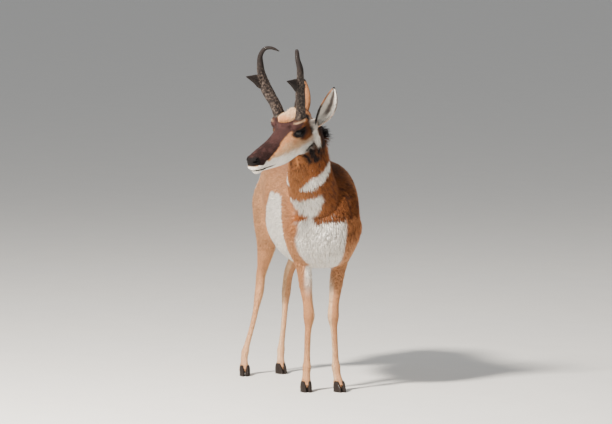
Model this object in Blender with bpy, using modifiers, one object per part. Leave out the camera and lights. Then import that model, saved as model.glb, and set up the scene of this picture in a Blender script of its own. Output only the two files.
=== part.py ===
"""A pronghorn buck at life size, standing and looking to its right.

Metres, +Z up. The animal faces -Y and its left side is towards +X. The soft body is fused from
named forms and parted into nodes with thin plane cuts. Horns, eyes and hooves are pieces of their own.
"""
import math

import bmesh
import bpy
import numpy as np
from mathutils import Matrix, Vector
from mathutils.bvhtree import BVHTree

# Driving sizes
SHOULDER_HEIGHT = 0.860
GAP = 0.0003
BODY_VOXEL = 0.006
HEAD_VOXEL = 0.0028
MERGE = 0.00001

# Where the body's own origin, between its feet, stands from the middle of the whole outline
STAND = Vector((0.1069, 0.0460, 0.0))

# The head's turn: yaw to its right, pitch down, roll to its left, and the place midway between the eyes
HEAD_YAW = math.radians(64.0)
HEAD_PITCH = math.radians(25.5)
HEAD_ROLL = math.radians(2.0)
EYE_MIDDLE = Vector((-0.187, -0.435, 0.989))

EYE_RADIUS = 0.0215
MANE_LENGTH = 0.052
TUFT_LENGTH = 0.024
EYE_AT = (-0.008, 0.0470, 0.012)
EAR_LENGTH = 0.164

HIDE = ((0.62, 0.40, 0.24, 1), 0.85)
WHITE_HAIR = ((0.85, 0.80, 0.72, 1), 0.85)
MANE_HAIR = ((0.10, 0.06, 0.04, 1), 0.8)
HORN = ((0.035, 0.025, 0.022, 1), 0.5)
EYE = ((0.01, 0.008, 0.006, 1), 0.08)
HOOF = ((0.03, 0.026, 0.024, 1), 0.45)


def clear_scene():
    for obj in list(bpy.data.objects):
        bpy.data.objects.remove(obj, do_unlink=True)


def material(name, look):
    colour, roughness = look
    made = bpy.data.materials.get(name) or bpy.data.materials.new(name)
    made.use_nodes = True
    shader = made.node_tree.nodes["Principled BSDF"]
    shader.inputs["Base Color"].default_value = colour
    shader.inputs["Roughness"].default_value = roughness
    shader.inputs["Metallic"].default_value = 0.0
    return made


def collection(name):
    made = bpy.data.collections.new(name)
    bpy.context.scene.collection.children.link(made)
    return made


# The head's own axes, in the body's frame: forward along the muzzle, left, and up
HEAD_TURN = Matrix.Rotation(-HEAD_YAW, 3, "Z") @ Matrix.Rotation(HEAD_PITCH, 3, "X") @ Matrix.Rotation(HEAD_ROLL, 3, "Y")
HEAD_FORWARD = HEAD_TURN @ Vector((0, -1, 0))
HEAD_LEFT = HEAD_TURN @ Vector((1, 0, 0))
HEAD_UP = HEAD_TURN @ Vector((0, 0, 1))


def on_head(forward, left, up):
    """A point given along the muzzle, to the left and up from midway between the eyes."""
    return EYE_MIDDLE + HEAD_FORWARD * forward + HEAD_LEFT * left + HEAD_UP * up


def smooth_rows(rows, steps):
    """Rows read from a Catmull-Rom curve through the given rows, with steps spans between two of them."""
    rows = np.array(rows, float)
    ends = np.vstack([2 * rows[0] - rows[1], rows, 2 * rows[-1] - rows[-2]])
    made = []
    for i in range(len(rows) - 1):
        a, b, c, d = ends[i : i + 4]
        for k in range(steps):
            t = k / steps
            made.append(
                0.5
                * (
                    2 * b
                    + (c - a) * t
                    + (2 * a - 5 * b + 4 * c - d) * t**2
                    + (3 * b - a - 3 * c + d) * t**3
                )
            )
    made.append(rows[-1])
    return np.array(made)


def section(centre, side, up, width, top, bottom, taper=0.0, sides=20, power=2.0):
    """A closed egg-shaped ring: half width, heights above and below its centre, and a taper to one end.

    A power over 2 makes it squarer.
    """
    turn = np.arange(sides) * 2 * math.pi / sides
    across = np.sign(np.cos(turn)) * np.abs(np.cos(turn)) ** (2 / power)
    along = np.sign(np.sin(turn)) * np.abs(np.sin(turn)) ** (2 / power)
    reach = np.where(along > 0, top, bottom) * along
    spread = width * across * (1 + taper * along)
    return np.array(centre) + np.outer(spread, side) + np.outer(reach, up)


def loft(name, rings, target):
    """A closed skin over unlike rings of equally many points, with a flat cap at each end."""
    mesh = bmesh.new()
    rows = [[mesh.verts.new(point) for point in ring] for ring in rings]
    for lower, upper in zip(rows, rows[1:]):
        for j in range(len(lower)):
            k = (j + 1) % len(lower)
            mesh.faces.new((lower[j], lower[k], upper[k], upper[j]))
    mesh.faces.new(rows[0][::-1])
    mesh.faces.new(rows[-1])
    bmesh.ops.recalc_face_normals(mesh, faces=mesh.faces)
    return object_from(mesh, name, target)


def object_from(mesh, name, target):
    data = bpy.data.meshes.new(name)
    mesh.to_mesh(data)
    mesh.free()
    obj = bpy.data.objects.new(name, data)
    target.objects.link(obj)
    return obj


def ball(name, centre, axes, sizes, target, segments=24):
    """An ellipsoid: half sizes along three unit axes."""
    mesh = bmesh.new()
    bmesh.ops.create_uvsphere(mesh, u_segments=segments, v_segments=segments // 2, radius=1.0)
    turn = Matrix([Vector(axis) * size for axis, size in zip(axes, sizes)]).transposed().to_4x4()
    bmesh.ops.transform(mesh, matrix=Matrix.Translation(centre) @ turn, verts=mesh.verts)
    bmesh.ops.recalc_face_normals(mesh, faces=mesh.faces)
    return object_from(mesh, name, target)


UPRIGHT = (Vector((1, 0, 0)), Vector((0, 1, 0)), Vector((0, 0, 1)))
HEAD_AXES = (HEAD_FORWARD, HEAD_LEFT, HEAD_UP)

# The trunk from chest to buttock: y, x of the middle, top and bottom height, half width, taper
TRUNK = (
    (-0.402, -0.004, 0.640, 0.570, 0.030, 0.00),
    (-0.380, -0.004, 0.705, 0.528, 0.070, 0.00),
    (-0.335, -0.001, 0.788, 0.490, 0.113, 0.00),
    (-0.270, 0.002, 0.848, 0.470, 0.137, 0.02),
    (-0.200, 0.005, 0.870, 0.466, 0.143, 0.03),
    (-0.100, 0.008, 0.868, 0.464, 0.146, 0.01),
    (0.000, 0.010, 0.855, 0.478, 0.148, -0.02),
    (0.100, 0.015, 0.852, 0.516, 0.145, -0.02),
    (0.180, 0.019, 0.859, 0.570, 0.131, -0.02),
    (0.270, 0.021, 0.866, 0.618, 0.113, 0.00),
    (0.350, 0.022, 0.849, 0.626, 0.099, 0.00),
    (0.420, 0.022, 0.804, 0.640, 0.080, 0.00),
    (0.455, 0.022, 0.765, 0.660, 0.052, 0.00),
    (0.468, 0.022, 0.735, 0.690, 0.024, 0.00),
)
TRUNK_POWER = 2.55

# The neck: x, y, z of its axis, turn to the right in degrees, half width, depth to the nape and throat
NECK = (
    (-0.006, -0.215, 0.640, 0, 0.092, 0.120, 0.140),
    (-0.034, -0.285, 0.730, 8, 0.098, 0.104, 0.118),
    (-0.066, -0.322, 0.810, 20, 0.091, 0.084, 0.112),
    (-0.081, -0.348, 0.885, 34, 0.077, 0.070, 0.094),
    (-0.088, -0.368, 0.945, 46, 0.064, 0.060, 0.080),
    (-0.095, -0.385, 1.000, 56, 0.054, 0.050, 0.072),
    (-0.097, -0.393, 1.030, 62, 0.045, 0.040, 0.060),
)

# A foreleg: height, half width, depth to the front and back. Its way down is given for each leg
FORELEG = (
    (0.800, 0.020, 0.045, 0.045),
    (0.740, 0.036, 0.085, 0.085),
    (0.660, 0.043, 0.108, 0.105),
    (0.600, 0.044, 0.098, 0.100),
    (0.540, 0.041, 0.073, 0.078),
    (0.490, 0.035, 0.050, 0.054),
    (0.445, 0.028, 0.038, 0.038),
    (0.390, 0.0235, 0.030, 0.030),
    (0.340, 0.0195, 0.0235, 0.0235),
    (0.310, 0.0205, 0.0240, 0.0225),
    (0.285, 0.0215, 0.0255, 0.0225),
    (0.262, 0.0180, 0.0200, 0.0210),
    (0.235, 0.0130, 0.0145, 0.0165),
    (0.160, 0.0118, 0.0130, 0.0150),
    (0.115, 0.0130, 0.0145, 0.0180),
    (0.092, 0.0165, 0.0180, 0.0225),
    (0.070, 0.0150, 0.0170, 0.0195),
    (0.048, 0.0165, 0.0190, 0.0190),
    (0.026, 0.0210, 0.0270, 0.0200),
)
# The way down of each foreleg: height, x, y
FORELEG_WAYS = {
    "left": (
        (0.800, 0.0600, -0.1950),
        (0.660, 0.0980, -0.2400),
        (0.600, 0.1000, -0.2450),
        (0.540, 0.0920, -0.2260),
        (0.490, 0.0780, -0.2120),
        (0.445, 0.0690, -0.2200),
        (0.390, 0.0580, -0.2320),
        (0.290, 0.0430, -0.2500),
        (0.200, 0.0485, -0.2500),
        (0.092, 0.0535, -0.2520),
        (0.048, 0.0570, -0.2660),
        (0.026, 0.0595, -0.2760),
    ),
    "right": (
        (0.800, -0.0600, -0.1950),
        (0.660, -0.0952, -0.2400),
        (0.600, -0.0960, -0.2400),
        (0.540, -0.0826, -0.2200),
        (0.490, -0.0631, -0.2030),
        (0.445, -0.0556, -0.2010),
        (0.390, -0.0531, -0.2110),
        (0.290, -0.0460, -0.2280),
        (0.200, -0.0504, -0.2250),
        (0.092, -0.0528, -0.2220),
        (0.048, -0.0589, -0.2340),
        (0.026, -0.0630, -0.2430),
    ),
}

# A hind leg, in the same order
HIND_LEG = (
    (0.830, 0.030, 0.060, 0.060),
    (0.770, 0.040, 0.095, 0.100),
    (0.700, 0.044, 0.118, 0.128),
    (0.630, 0.045, 0.112, 0.130),
    (0.570, 0.042, 0.088, 0.108),
    (0.520, 0.035, 0.070, 0.074),
    (0.470, 0.028, 0.055, 0.050),
    (0.425, 0.021, 0.037, 0.038),
    (0.385, 0.0170, 0.0265, 0.0400),
    (0.350, 0.0165, 0.0260, 0.0350),
    (0.315, 0.0170, 0.0235, 0.0250),
    (0.285, 0.0145, 0.0180, 0.0195),
    (0.250, 0.0115, 0.0140, 0.0155),
    (0.170, 0.0106, 0.0125, 0.0142),
    (0.115, 0.0120, 0.0138, 0.0168),
    (0.092, 0.0150, 0.0168, 0.0210),
    (0.070, 0.0138, 0.0158, 0.0178),
    (0.048, 0.0150, 0.0180, 0.0180),
    (0.026, 0.0190, 0.0250, 0.0190),
)
HIND_LEG_WAYS = {
    "left": (
        (0.830, 0.0720, 0.3050),
        (0.700, 0.1020, 0.3220),
        (0.630, 0.1040, 0.3180),
        (0.570, 0.1000, 0.3060),
        (0.520, 0.0900, 0.3180),
        (0.470, 0.0760, 0.3480),
        (0.425, 0.0630, 0.3850),
        (0.385, 0.0590, 0.4200),
        (0.315, 0.0520, 0.4320),
        (0.200, 0.0430, 0.4320),
        (0.092, 0.0320, 0.4350),
        (0.048, 0.0270, 0.4240),
        (0.026, 0.0250, 0.4160),
    ),
    "right": (
        (0.830, -0.0260, 0.3000),
        (0.700, -0.0568, 0.3160),
        (0.630, -0.0603, 0.3060),
        (0.570, -0.0638, 0.2860),
        (0.520, -0.0671, 0.2840),
        (0.470, -0.0687, 0.3060),
        (0.425, -0.0676, 0.3380),
        (0.385, -0.0670, 0.3680),
        (0.315, -0.0710, 0.3840),
        (0.200, -0.0945, 0.3880),
        (0.092, -0.1237, 0.3920),
        (0.048, -0.1310, 0.3820),
        (0.026, -0.1330, 0.3740),
    ),
}

# The head along the muzzle: forward, top, bottom, half width, taper
HEAD = (
    (-0.128, 0.008, -0.050, 0.024, 0.00),
    (-0.105, 0.034, -0.078, 0.044, 0.05),
    (-0.060, 0.055, -0.088, 0.054, 0.10),
    (-0.020, 0.056, -0.090, 0.056, 0.12),
    (0.020, 0.045, -0.092, 0.053, 0.18),
    (0.060, 0.032, -0.092, 0.046, 0.22),
    (0.100, 0.0265, -0.083, 0.0385, 0.18),
    (0.140, 0.0245, -0.071, 0.0330, 0.10),
    (0.172, 0.0225, -0.0615, 0.0310, 0.05),
    (0.194, 0.0190, -0.0565, 0.0295, 0.00),
    (0.207, 0.0120, -0.0500, 0.0250, 0.00),
    (0.215, 0.0020, -0.0380, 0.0150, 0.00),
)

# A horn's axis from inside the brow to its hooked tip: forward, left, up, half depth, half width
HORN_AXIS = (
    (-0.0300, 0.0570, 0.0470, 0.0250, 0.0185),
    (-0.0378, 0.0601, 0.0652, 0.0242, 0.0172),
    (-0.0440, 0.0725, 0.1064, 0.0225, 0.0156),
    (-0.0455, 0.0925, 0.1603, 0.0240, 0.0138),
    (-0.0556, 0.1060, 0.2135, 0.0182, 0.0106),
    (-0.0678, 0.1092, 0.2527, 0.0138, 0.0112),
    (-0.0765, 0.1027, 0.2852, 0.0100, 0.0092),
    (-0.0945, 0.0896, 0.3050, 0.0083, 0.0078),
    (-0.1100, 0.0715, 0.3036, 0.0068, 0.0060),
    (-0.1185, 0.0553, 0.2930, 0.0047, 0.0045),
    (-0.1238, 0.0457, 0.2835, 0.0020, 0.0020),
)
# The prong that stands forward from it, as a flat blade: forward, left, up, half depth, half width
PRONG_AXIS = (
    (-0.0600, 0.1000, 0.1700, 0.0200, 0.0080),
    (-0.0400, 0.1030, 0.1940, 0.0265, 0.0098),
    (-0.0240, 0.1060, 0.2120, 0.0200, 0.0086),
    (-0.0080, 0.1090, 0.2260, 0.0115, 0.0066),
    (0.0040, 0.1110, 0.2360, 0.0060, 0.0045),
    (0.0130, 0.1120, 0.2430, 0.0020, 0.0018),
)
# The blade's long way is turned outward at the front by this much
HORN_TWIST = math.radians(5.0)

# An ear: share of its length, half width, depth of its cup, half opening of the cup in degrees, wall
EAR = (
    (0.00, 0.0130, 0.0150, 150, 0.0050),
    (0.12, 0.0180, 0.0190, 128, 0.0042),
    (0.28, 0.0265, 0.0220, 104, 0.0036),
    (0.45, 0.0300, 0.0205, 94, 0.0032),
    (0.62, 0.0275, 0.0165, 90, 0.0030),
    (0.78, 0.0205, 0.0115, 88, 0.0027),
    (0.90, 0.0120, 0.0070, 86, 0.0024),
    (1.00, 0.0030, 0.0028, 84, 0.0014),
)
# Each ear's root, the way it points, the way its cup opens and the bow of its middle, on the head's axes
EARS = {
    "left": ((-0.100, 0.054, -0.008), (-0.50, 0.44, 0.76), (0.62, 0.75, 0.02), (-0.005, 0.009, -0.006)),
    "right": ((-0.104, -0.052, -0.008), (-0.62, -0.05, 0.78), (-0.35, -0.90, -0.20), (-0.010, -0.004, -0.008)),
}


def leg_ring(stations, ways, height, sides):
    """The level ring of a leg at one height, centred where its way down passes that height."""
    fine = smooth_rows(stations, 4)
    way = smooth_rows(ways, 4)
    width, front, back = (np.interp(-height, -fine[:, 0], fine[:, i]) for i in (1, 2, 3))
    x, y = (np.interp(-height, -way[:, 0], way[:, i]) for i in (1, 2))
    return section((x, y, height), (1, 0, 0), (0, -1, 0), width, front, back, 0, sides)


def leg_rings(stations, ways, top, bottom, sides=12, most=0.030):
    """Rings at the stations between two heights, and at both ends, at most so far apart."""
    inner = [row[0] for row in stations if bottom + 0.004 < row[0] < top - 0.004]
    marks = [top] + inner + [bottom]
    heights = []
    for upper, lower in zip(marks, marks[1:]):
        spans = math.ceil((upper - lower) / most)
        heights += [upper - (upper - lower) * k / spans for k in range(spans)]
    return [leg_ring(stations, ways, height, sides) for height in heights + [bottom]]


def neck_rings():
    fine = smooth_rows(NECK, 4)
    axis = fine[:, :3]
    tangent = np.gradient(axis, axis=0)
    rings = []
    for row, along in zip(fine, tangent):
        turn = math.radians(row[3])
        side = Vector((math.cos(turn), -math.sin(turn), 0.0))
        nape = Vector(along).normalized().cross(side).normalized()
        rings.append(section(row[:3], side, nape, row[4], row[5], row[6], 0, 24))
    return rings


def trunk_rings():
    rings = []
    for y, x, top, bottom, width, taper in smooth_rows(TRUNK, 3):
        middle = 0.5 * (top + bottom)
        half = 0.5 * (top - bottom)
        rings.append(section((x, y, middle), (1, 0, 0), (0, 0, 1), width, half, half, taper, 28, TRUNK_POWER))
    return rings


def head_rings():
    rings = []
    for forward, top, bottom, width, taper in smooth_rows(HEAD, 4):
        middle = 0.5 * (top + bottom)
        half = 0.5 * (top - bottom)
        centre = on_head(forward, 0, middle)
        rings.append(section(centre, HEAD_LEFT, HEAD_UP, width, half, half, taper, 28))
    return rings


def evaluated(obj, name, target):
    """A copy of an object with its modifiers applied, in place of the object."""
    graph = bpy.context.evaluated_depsgraph_get()
    graph.update()
    data = bpy.data.meshes.new_from_object(obj.evaluated_get(graph))
    bpy.data.objects.remove(obj, do_unlink=True)
    made = bpy.data.objects.new(name, data)
    target.objects.link(made)
    return made


def largest(obj):
    """Keeps the one closed surface with the most volume, and joins points that lie on each other."""
    mesh = bmesh.new()
    mesh.from_mesh(obj.data)
    bmesh.ops.remove_doubles(mesh, verts=mesh.verts, dist=MERGE)
    bmesh.ops.dissolve_degenerate(mesh, edges=mesh.edges, dist=MERGE)
    bmesh.ops.triangulate(mesh, faces=mesh.faces)
    left = set(mesh.verts)
    islands = []
    while left:
        stack = [left.pop()]
        island = set(stack)
        while stack:
            for edge in stack.pop().link_edges:
                for vert in edge.verts:
                    if vert in left:
                        left.discard(vert)
                        island.add(vert)
                        stack.append(vert)
        islands.append(island)
    islands.sort(key=len)
    for island in islands[:-1]:
        bmesh.ops.delete(mesh, geom=list(island), context="VERTS")
    bmesh.ops.recalc_face_normals(mesh, faces=mesh.faces)
    mesh.to_mesh(obj.data)
    mesh.free()
    return obj


def fused(name, pieces, voxel, rounds, faces, target):
    """One smooth surface over many forms, thinned to about the given count of faces."""
    mesh = bmesh.new()
    for piece in pieces:
        mesh.from_mesh(piece.data)
    obj = object_from(mesh, name, target)
    for piece in pieces:
        bpy.data.objects.remove(piece, do_unlink=True)
    remesh = obj.modifiers.new("fuse", "REMESH")
    remesh.mode = "VOXEL"
    remesh.voxel_size = voxel
    smooth = obj.modifiers.new("smooth", "SMOOTH")
    smooth.factor = 0.5
    smooth.iterations = rounds
    obj = evaluated(obj, name, target)
    thin = obj.modifiers.new("thin", "DECIMATE")
    thin.ratio = faces / max(1, sum(len(face.vertices) - 2 for face in obj.data.polygons))
    return largest(evaluated(obj, name, target))


def combine(obj, other, operation, target, keep_other=False):
    """Adds another object to this one, or cuts it away."""
    step = obj.modifiers.new(operation.lower(), "BOOLEAN")
    step.operation = operation
    step.solver = "MANIFOLD"
    step.object = other
    made = evaluated(obj, obj.name, target)
    if not keep_other:
        bpy.data.objects.remove(other, do_unlink=True)
    return largest(made)


def grown(obj, by, target):
    """A copy of an object with every point moved out along its normal."""
    mesh = bmesh.new()
    mesh.from_mesh(obj.data)
    mesh.normal_update()
    moves = [vert.normal * by for vert in mesh.verts]
    for vert, move in zip(mesh.verts, moves):
        vert.co += move
    return object_from(mesh, obj.name + "_seat", target)


def seat(host, guest, target):
    """Cuts a close seat for a guest into its host, a gap wide all round."""
    return combine(host, grown(guest, 1.3 * GAP, target), "DIFFERENCE", target)


def behind_plane(point, normal, target):
    """A great block whose front face is the plane."""
    mesh = bmesh.new()
    bmesh.ops.create_cube(mesh, size=4.0)
    bmesh.ops.translate(mesh, vec=(0, 0, -2.0), verts=mesh.verts)
    turn = Vector(normal).to_track_quat("Z", "Y").to_matrix().to_4x4()
    bmesh.ops.transform(mesh, matrix=Matrix.Translation(Vector(point)) @ turn, verts=mesh.verts)
    bmesh.ops.recalc_face_normals(mesh, faces=mesh.faces)
    return object_from(mesh, "plane", target)


def cut_behind(obj, point, normal, target):
    """Cuts away all that lies behind a plane, and half a gap more."""
    normal = Vector(normal).normalized()
    block = behind_plane(Vector(point) + normal * (0.5 * GAP), normal, target)
    return combine(obj, block, "DIFFERENCE", target)


def block(name, low, high, target):
    mesh = bmesh.new()
    bmesh.ops.create_cube(mesh, size=1.0)
    for vert in mesh.verts:
        vert.co = [low[i] + (vert.co[i] + 0.5) * (high[i] - low[i]) for i in range(3)]
    bmesh.ops.recalc_face_normals(mesh, faces=mesh.faces)
    return object_from(mesh, name, target)


# Heights of the cuts through the legs: below the trunk, and through the knee and hock
FORE_CUT, KNEE_CUT = 0.452, 0.286
HIND_CUT, HOCK_CUT = 0.500, 0.345
COFFIN = 0.024

# The planes between trunk and neck, and between neck and head
NECK_PLANE = (Vector((0, -0.226, 0.860)), Vector((-0.14, -0.72, 0.68)))
HEAD_PLANE = (on_head(-0.150, 0, 0.030), HEAD_FORWARD * 0.745 + HEAD_UP * 0.668)


def body_forms(target):
    """The forms of the trunk, neck and tops of the legs, all reaching well into each other."""
    forms = [
        loft("trunk", trunk_rings(), target),
        loft("neck", neck_rings(), target),
    ]
    for side in ("left", "right"):
        fore = leg_rings(FORELEG, FORELEG_WAYS[side], 0.800, 0.420, 16)
        hind = leg_rings(HIND_LEG, HIND_LEG_WAYS[side], 0.830, 0.460, 16)
        forms += [loft("fore", fore, target), loft("hind", hind, target)]
    return forms


def head_forms(target):
    """The skull with its brows, cheeks, lips and nose, all reaching well into each other."""
    forms = [loft("skull", head_rings(), target)]

    def add(name, place, sizes):
        forms.append(ball(name, on_head(*place), HEAD_AXES, sizes, target, 20))

    for s in (1, -1):
        add("orbit", (-0.010, s * 0.0455, 0.011), (0.033, 0.0290, 0.0275))
        add("upper_lid", (-0.006, s * 0.0525, 0.0215), (0.024, 0.0185, 0.0110))
        add("cheek_bone", (0.030, s * 0.0385, -0.012), (0.040, 0.0110, 0.0100))
        add("jaw", (-0.030, s * 0.0300, -0.048), (0.060, 0.0240, 0.0400))
        add("horn_boss", (-0.026, s * 0.0580, 0.040), (0.036, 0.0265, 0.0260))
        add("ear_root", (-0.092, s * 0.0440, -0.004), (0.026, 0.0210, 0.0240))
        add("nostril_rim", (0.192, s * 0.0180, -0.004), (0.019, 0.0135, 0.0170))
        add("upper_lip", (0.182, s * 0.0170, -0.028), (0.034, 0.0150, 0.0120))
        add("lower_lip", (0.172, s * 0.0120, -0.047), (0.036, 0.0140, 0.0090))
    add("poll", (-0.070, 0, 0.028), (0.052, 0.0480, 0.0420))
    add("brow", (-0.014, 0, 0.044), (0.040, 0.0440, 0.0180))
    add("nose_pad", (0.204, 0, -0.010), (0.012, 0.0160, 0.0150))
    add("chin", (0.190, 0, -0.0500), (0.020, 0.0180, 0.0110))
    return forms


def eye_opening(s, target):
    """The almond between the lids, as a flared plug that reaches out from inside the eye."""
    outward = (HEAD_LEFT * (0.95 * s) + HEAD_FORWARD * 0.30 + HEAD_UP * 0.02).normalized()
    ahead = (HEAD_FORWARD - outward * HEAD_FORWARD.dot(outward)).normalized()
    above = outward.cross(ahead).normalized() * s
    centre = on_head(EYE_AT[0], s * EYE_AT[1], EYE_AT[2])
    rings = []
    for reach, size in ((0.008, 0.90), (0.019, 1.0), (0.024, 1.10), (0.045, 1.6)):
        ring = []
        for k in range(16):
            t = k * math.pi / 8
            lift = 0.0125 if math.sin(t) > 0 else 0.0110
            ahead_by = 0.0200 * math.cos(t)
            above_by = lift * math.sin(t) * (1 - 0.25 * abs(math.cos(t))) - 0.0025 * math.cos(t)
            ring.append(centre + outward * reach + ahead * (size * ahead_by) + above * (size * above_by))
        rings.append(np.array(ring))
    return loft("opening", rings, target)


def groove(name, path, half_width, depth, tree, target):
    """A narrow blade that cuts a groove along a line on the head: forward, side and height of each point."""
    points = []
    for forward, s, up in path:
        start = on_head(forward, s * 0.12, up)
        hit, normal, _, _ = tree.ray_cast(start, HEAD_LEFT * -s)
        points.append((hit, normal))
    rings = []
    for i, (point, normal) in enumerate(points):
        along = (points[min(i + 1, len(points) - 1)][0] - points[max(i - 1, 0)][0]).normalized()
        across = along.cross(normal).normalized()
        ring = [
            point + normal * 0.004 + across * half_width * 1.8,
            point - normal * depth + across * half_width * 0.5,
            point - normal * depth - across * half_width * 0.5,
            point + normal * 0.004 - across * half_width * 1.8,
        ]
        rings.append(np.array(ring))
    return loft(name, rings, target)


def cut_face(head, target):
    """Cuts the mouth line and the nostrils."""
    for s in (1, -1):
        tree = BVHTree.FromObject(head, bpy.context.evaluated_depsgraph_get())
        line = ((0.108, -0.0600), (0.125, -0.0590), (0.145, -0.0520), (0.165, -0.0430), (0.185, -0.0375))
        line = line + ((0.198, -0.0360), (0.205, -0.0360))
        mouth = groove("mouth", [(f, s, up) for f, up in line], 0.0011, 0.0050, tree, target)
        head = combine(head, mouth, "DIFFERENCE", target)
        for place, sizes, tilt in (
            ((0.2050, s * 0.0225, -0.0040), (0.0060, 0.0100, 0.0045), 0.9),
            ((0.1960, s * 0.0300, 0.0030), (0.0085, 0.0065, 0.0030), 0.5),
        ):
            ahead = (HEAD_FORWARD * math.cos(tilt) + HEAD_LEFT * (s * math.sin(tilt))).normalized()
            axes = (ahead, HEAD_UP.cross(ahead), HEAD_UP)
            nostril = ball("nostril", on_head(*place), axes, sizes, target, 12)
            head = combine(head, nostril, "DIFFERENCE", target)
    return head


def lock(root, along, flat, length, width, bend, target):
    """One flat tapered lock: three spans of four sides, bent over along its lie, with its root sunk in."""
    along = along.normalized()
    across = along.cross(flat).normalized()
    rings = []
    for share, wide, thick in ((-0.35, 0.80, 0.85), (0.10, 1.0, 1.0), (0.60, 0.85, 0.75), (1.0, 0.20, 0.20)):
        middle = root + along * (share * length) + bend * (max(share, 0.0) ** 2)
        w = across * (0.5 * width * wide)
        t = flat * (0.17 * width * thick)
        rings.append(np.array([middle + w, middle + t, middle - w, middle - t]))
    return loft("lock", rings, target)


def mane(body, target):
    """Short locks that stand off the nape in three overlapping rows."""
    rng = np.random.default_rng(7)
    tree = BVHTree.FromObject(body, bpy.context.evaluated_depsgraph_get())
    fine = smooth_rows(NECK, 8)
    tangents = np.gradient(fine[:, :3], axis=0)
    locks = collection("mane")
    for i in range(8, len(fine) - 5, 2):
        axis = Vector(fine[i, :3])
        turn = math.radians(fine[i, 3])
        side = Vector((math.cos(turn), -math.sin(turn), 0.0))
        along = Vector(tangents[i]).normalized()
        nape = along.cross(side).normalized()
        for row in (-1, 0, 1):
            lean = row * 0.30 + rng.uniform(-0.10, 0.10) + (0.15 if i % 4 else -0.15)
            way = (nape * math.cos(lean) + side * math.sin(lean)).normalized()
            start = axis + way * 0.3 - along * 0.006 * row
            hit, normal, _, _ = tree.ray_cast(start, -way)
            if hit is None:
                continue
            length = MANE_LENGTH * (1 - 0.25 * abs(row)) * rng.uniform(0.85, 1.10)
            lie = way * 0.80 - along * 0.62
            bend = -along * (0.28 * length)
            lock(hit, lie, lie.cross(side).cross(lie).normalized(), length, 0.026, bend, locks)
    return united(body, locks, target)


def crown(head, target):
    """The pale tuft that stands between the horns."""
    rng = np.random.default_rng(11)
    tree = BVHTree.FromObject(head, bpy.context.evaluated_depsgraph_get())
    locks = collection("crown")
    for forward in (0.006, -0.012, -0.030, -0.048):
        for k in range(4):
            left = (k - 1.5) * 0.0150 + rng.uniform(-0.003, 0.003)
            start = on_head(forward + rng.uniform(-0.003, 0.003), left, 0.2)
            hit, normal, _, _ = tree.ray_cast(start, -HEAD_UP)
            lie = HEAD_UP * 0.95 + HEAD_LEFT * (left * 6) - HEAD_FORWARD * 0.10
            bend = HEAD_FORWARD * -0.010
            length = TUFT_LENGTH * rng.uniform(0.85, 1.08) * (1 - 4.0 * abs(left))
            lock(hit, lie, HEAD_FORWARD, length, 0.022, bend, locks)
    return united(head, locks, target)


def united(obj, pieces, target):
    """One Boolean union of an object with every object of a collection, which is then emptied."""
    join = obj.modifiers.new("join", "BOOLEAN")
    join.operation = "UNION"
    join.solver = "MANIFOLD"
    join.operand_type = "COLLECTION"
    join.collection = pieces
    made = evaluated(obj, obj.name, target)
    for piece in list(pieces.objects):
        bpy.data.objects.remove(piece, do_unlink=True)
    bpy.data.collections.remove(pieces)
    return largest(made)


def horn(side, target):
    """A sheath that rises over the eye and hooks back in, with its flat prong forward."""
    s = 1 if side == "left" else -1
    parts = []
    ahead = HEAD_FORWARD * math.cos(HORN_TWIST) + HEAD_LEFT * (s * math.sin(HORN_TWIST))
    for name, axis in (("sheath", HORN_AXIS), ("prong", PRONG_AXIS)):
        fine = smooth_rows(axis, 2)
        points = [on_head(row[0], s * row[1], row[2]) for row in fine]
        rings = []
        for i, row in enumerate(fine):
            along = (points[min(i + 1, len(points) - 1)] - points[max(i - 1, 0)]).normalized()
            side_way = along.cross(ahead).normalized()
            fore_way = side_way.cross(along).normalized()
            rings.append(section(points[i], side_way, fore_way, row[4], row[3], row[3], 0, 10))
        parts.append(loft(name, rings, target))
    made = combine(parts[0], parts[1], "UNION", target)
    made.name = "horn_" + side
    return made


def ear(side, target):
    """A leaf-shaped cup on a rounded root."""
    root, points_to, opens_to, bows_to = EARS[side]
    along = HEAD_FORWARD * points_to[0] + HEAD_LEFT * points_to[1] + HEAD_UP * points_to[2]
    along.normalize()
    opening = HEAD_FORWARD * opens_to[0] + HEAD_LEFT * opens_to[1] + HEAD_UP * opens_to[2]
    opening = (opening - along * opening.dot(along)).normalized()
    across = along.cross(opening)
    start = on_head(*root)
    bow = on_head(*bows_to) - EYE_MIDDLE
    rings = []
    for share, width, depth, opened, wall in smooth_rows(EAR, 2):
        centre = start + along * (share * EAR_LENGTH) + bow * (4 * share * (1 - share))
        turns = np.radians(np.linspace(-opened, opened, 7))
        outer = [
            centre + across * (width * math.sin(t)) - opening * (depth * math.cos(t)) for t in turns
        ]
        inner = [
            centre
            + across * ((width - wall) * math.sin(0.97 * t))
            - opening * ((depth - wall) * math.cos(0.97 * t))
            for t in turns[::-1]
        ]
        rings.append(np.array(outer + inner))
    cup = loft("ear_" + side, rings, target)
    plug = ball(
        "plug", start + along * 0.006, (across, opening, along), (0.0155, 0.0165, 0.020), target, 12
    )
    made = combine(cup, plug, "UNION", target)
    made.name = "ear_" + side
    return made


def tail(target):
    """A short, thick tail that hangs close to the rump."""
    way = (
        (0.022, 0.410, 0.812, 0.018, 0.014),
        (0.022, 0.440, 0.806, 0.026, 0.017),
        (0.023, 0.466, 0.785, 0.031, 0.019),
        (0.024, 0.480, 0.752, 0.029, 0.017),
        (0.025, 0.484, 0.722, 0.018, 0.011),
        (0.026, 0.484, 0.704, 0.004, 0.003),
    )
    fine = smooth_rows(way, 3)
    along = np.gradient(fine[:, :3], axis=0)
    rings = []
    for row, t in zip(fine, along):
        back = Vector((1, 0, 0)).cross(Vector(t)).normalized()
        rings.append(section(row[:3], (1, 0, 0), back, row[3], row[4], row[4], 0, 12))
    return loft("tail", rings, target)


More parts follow.
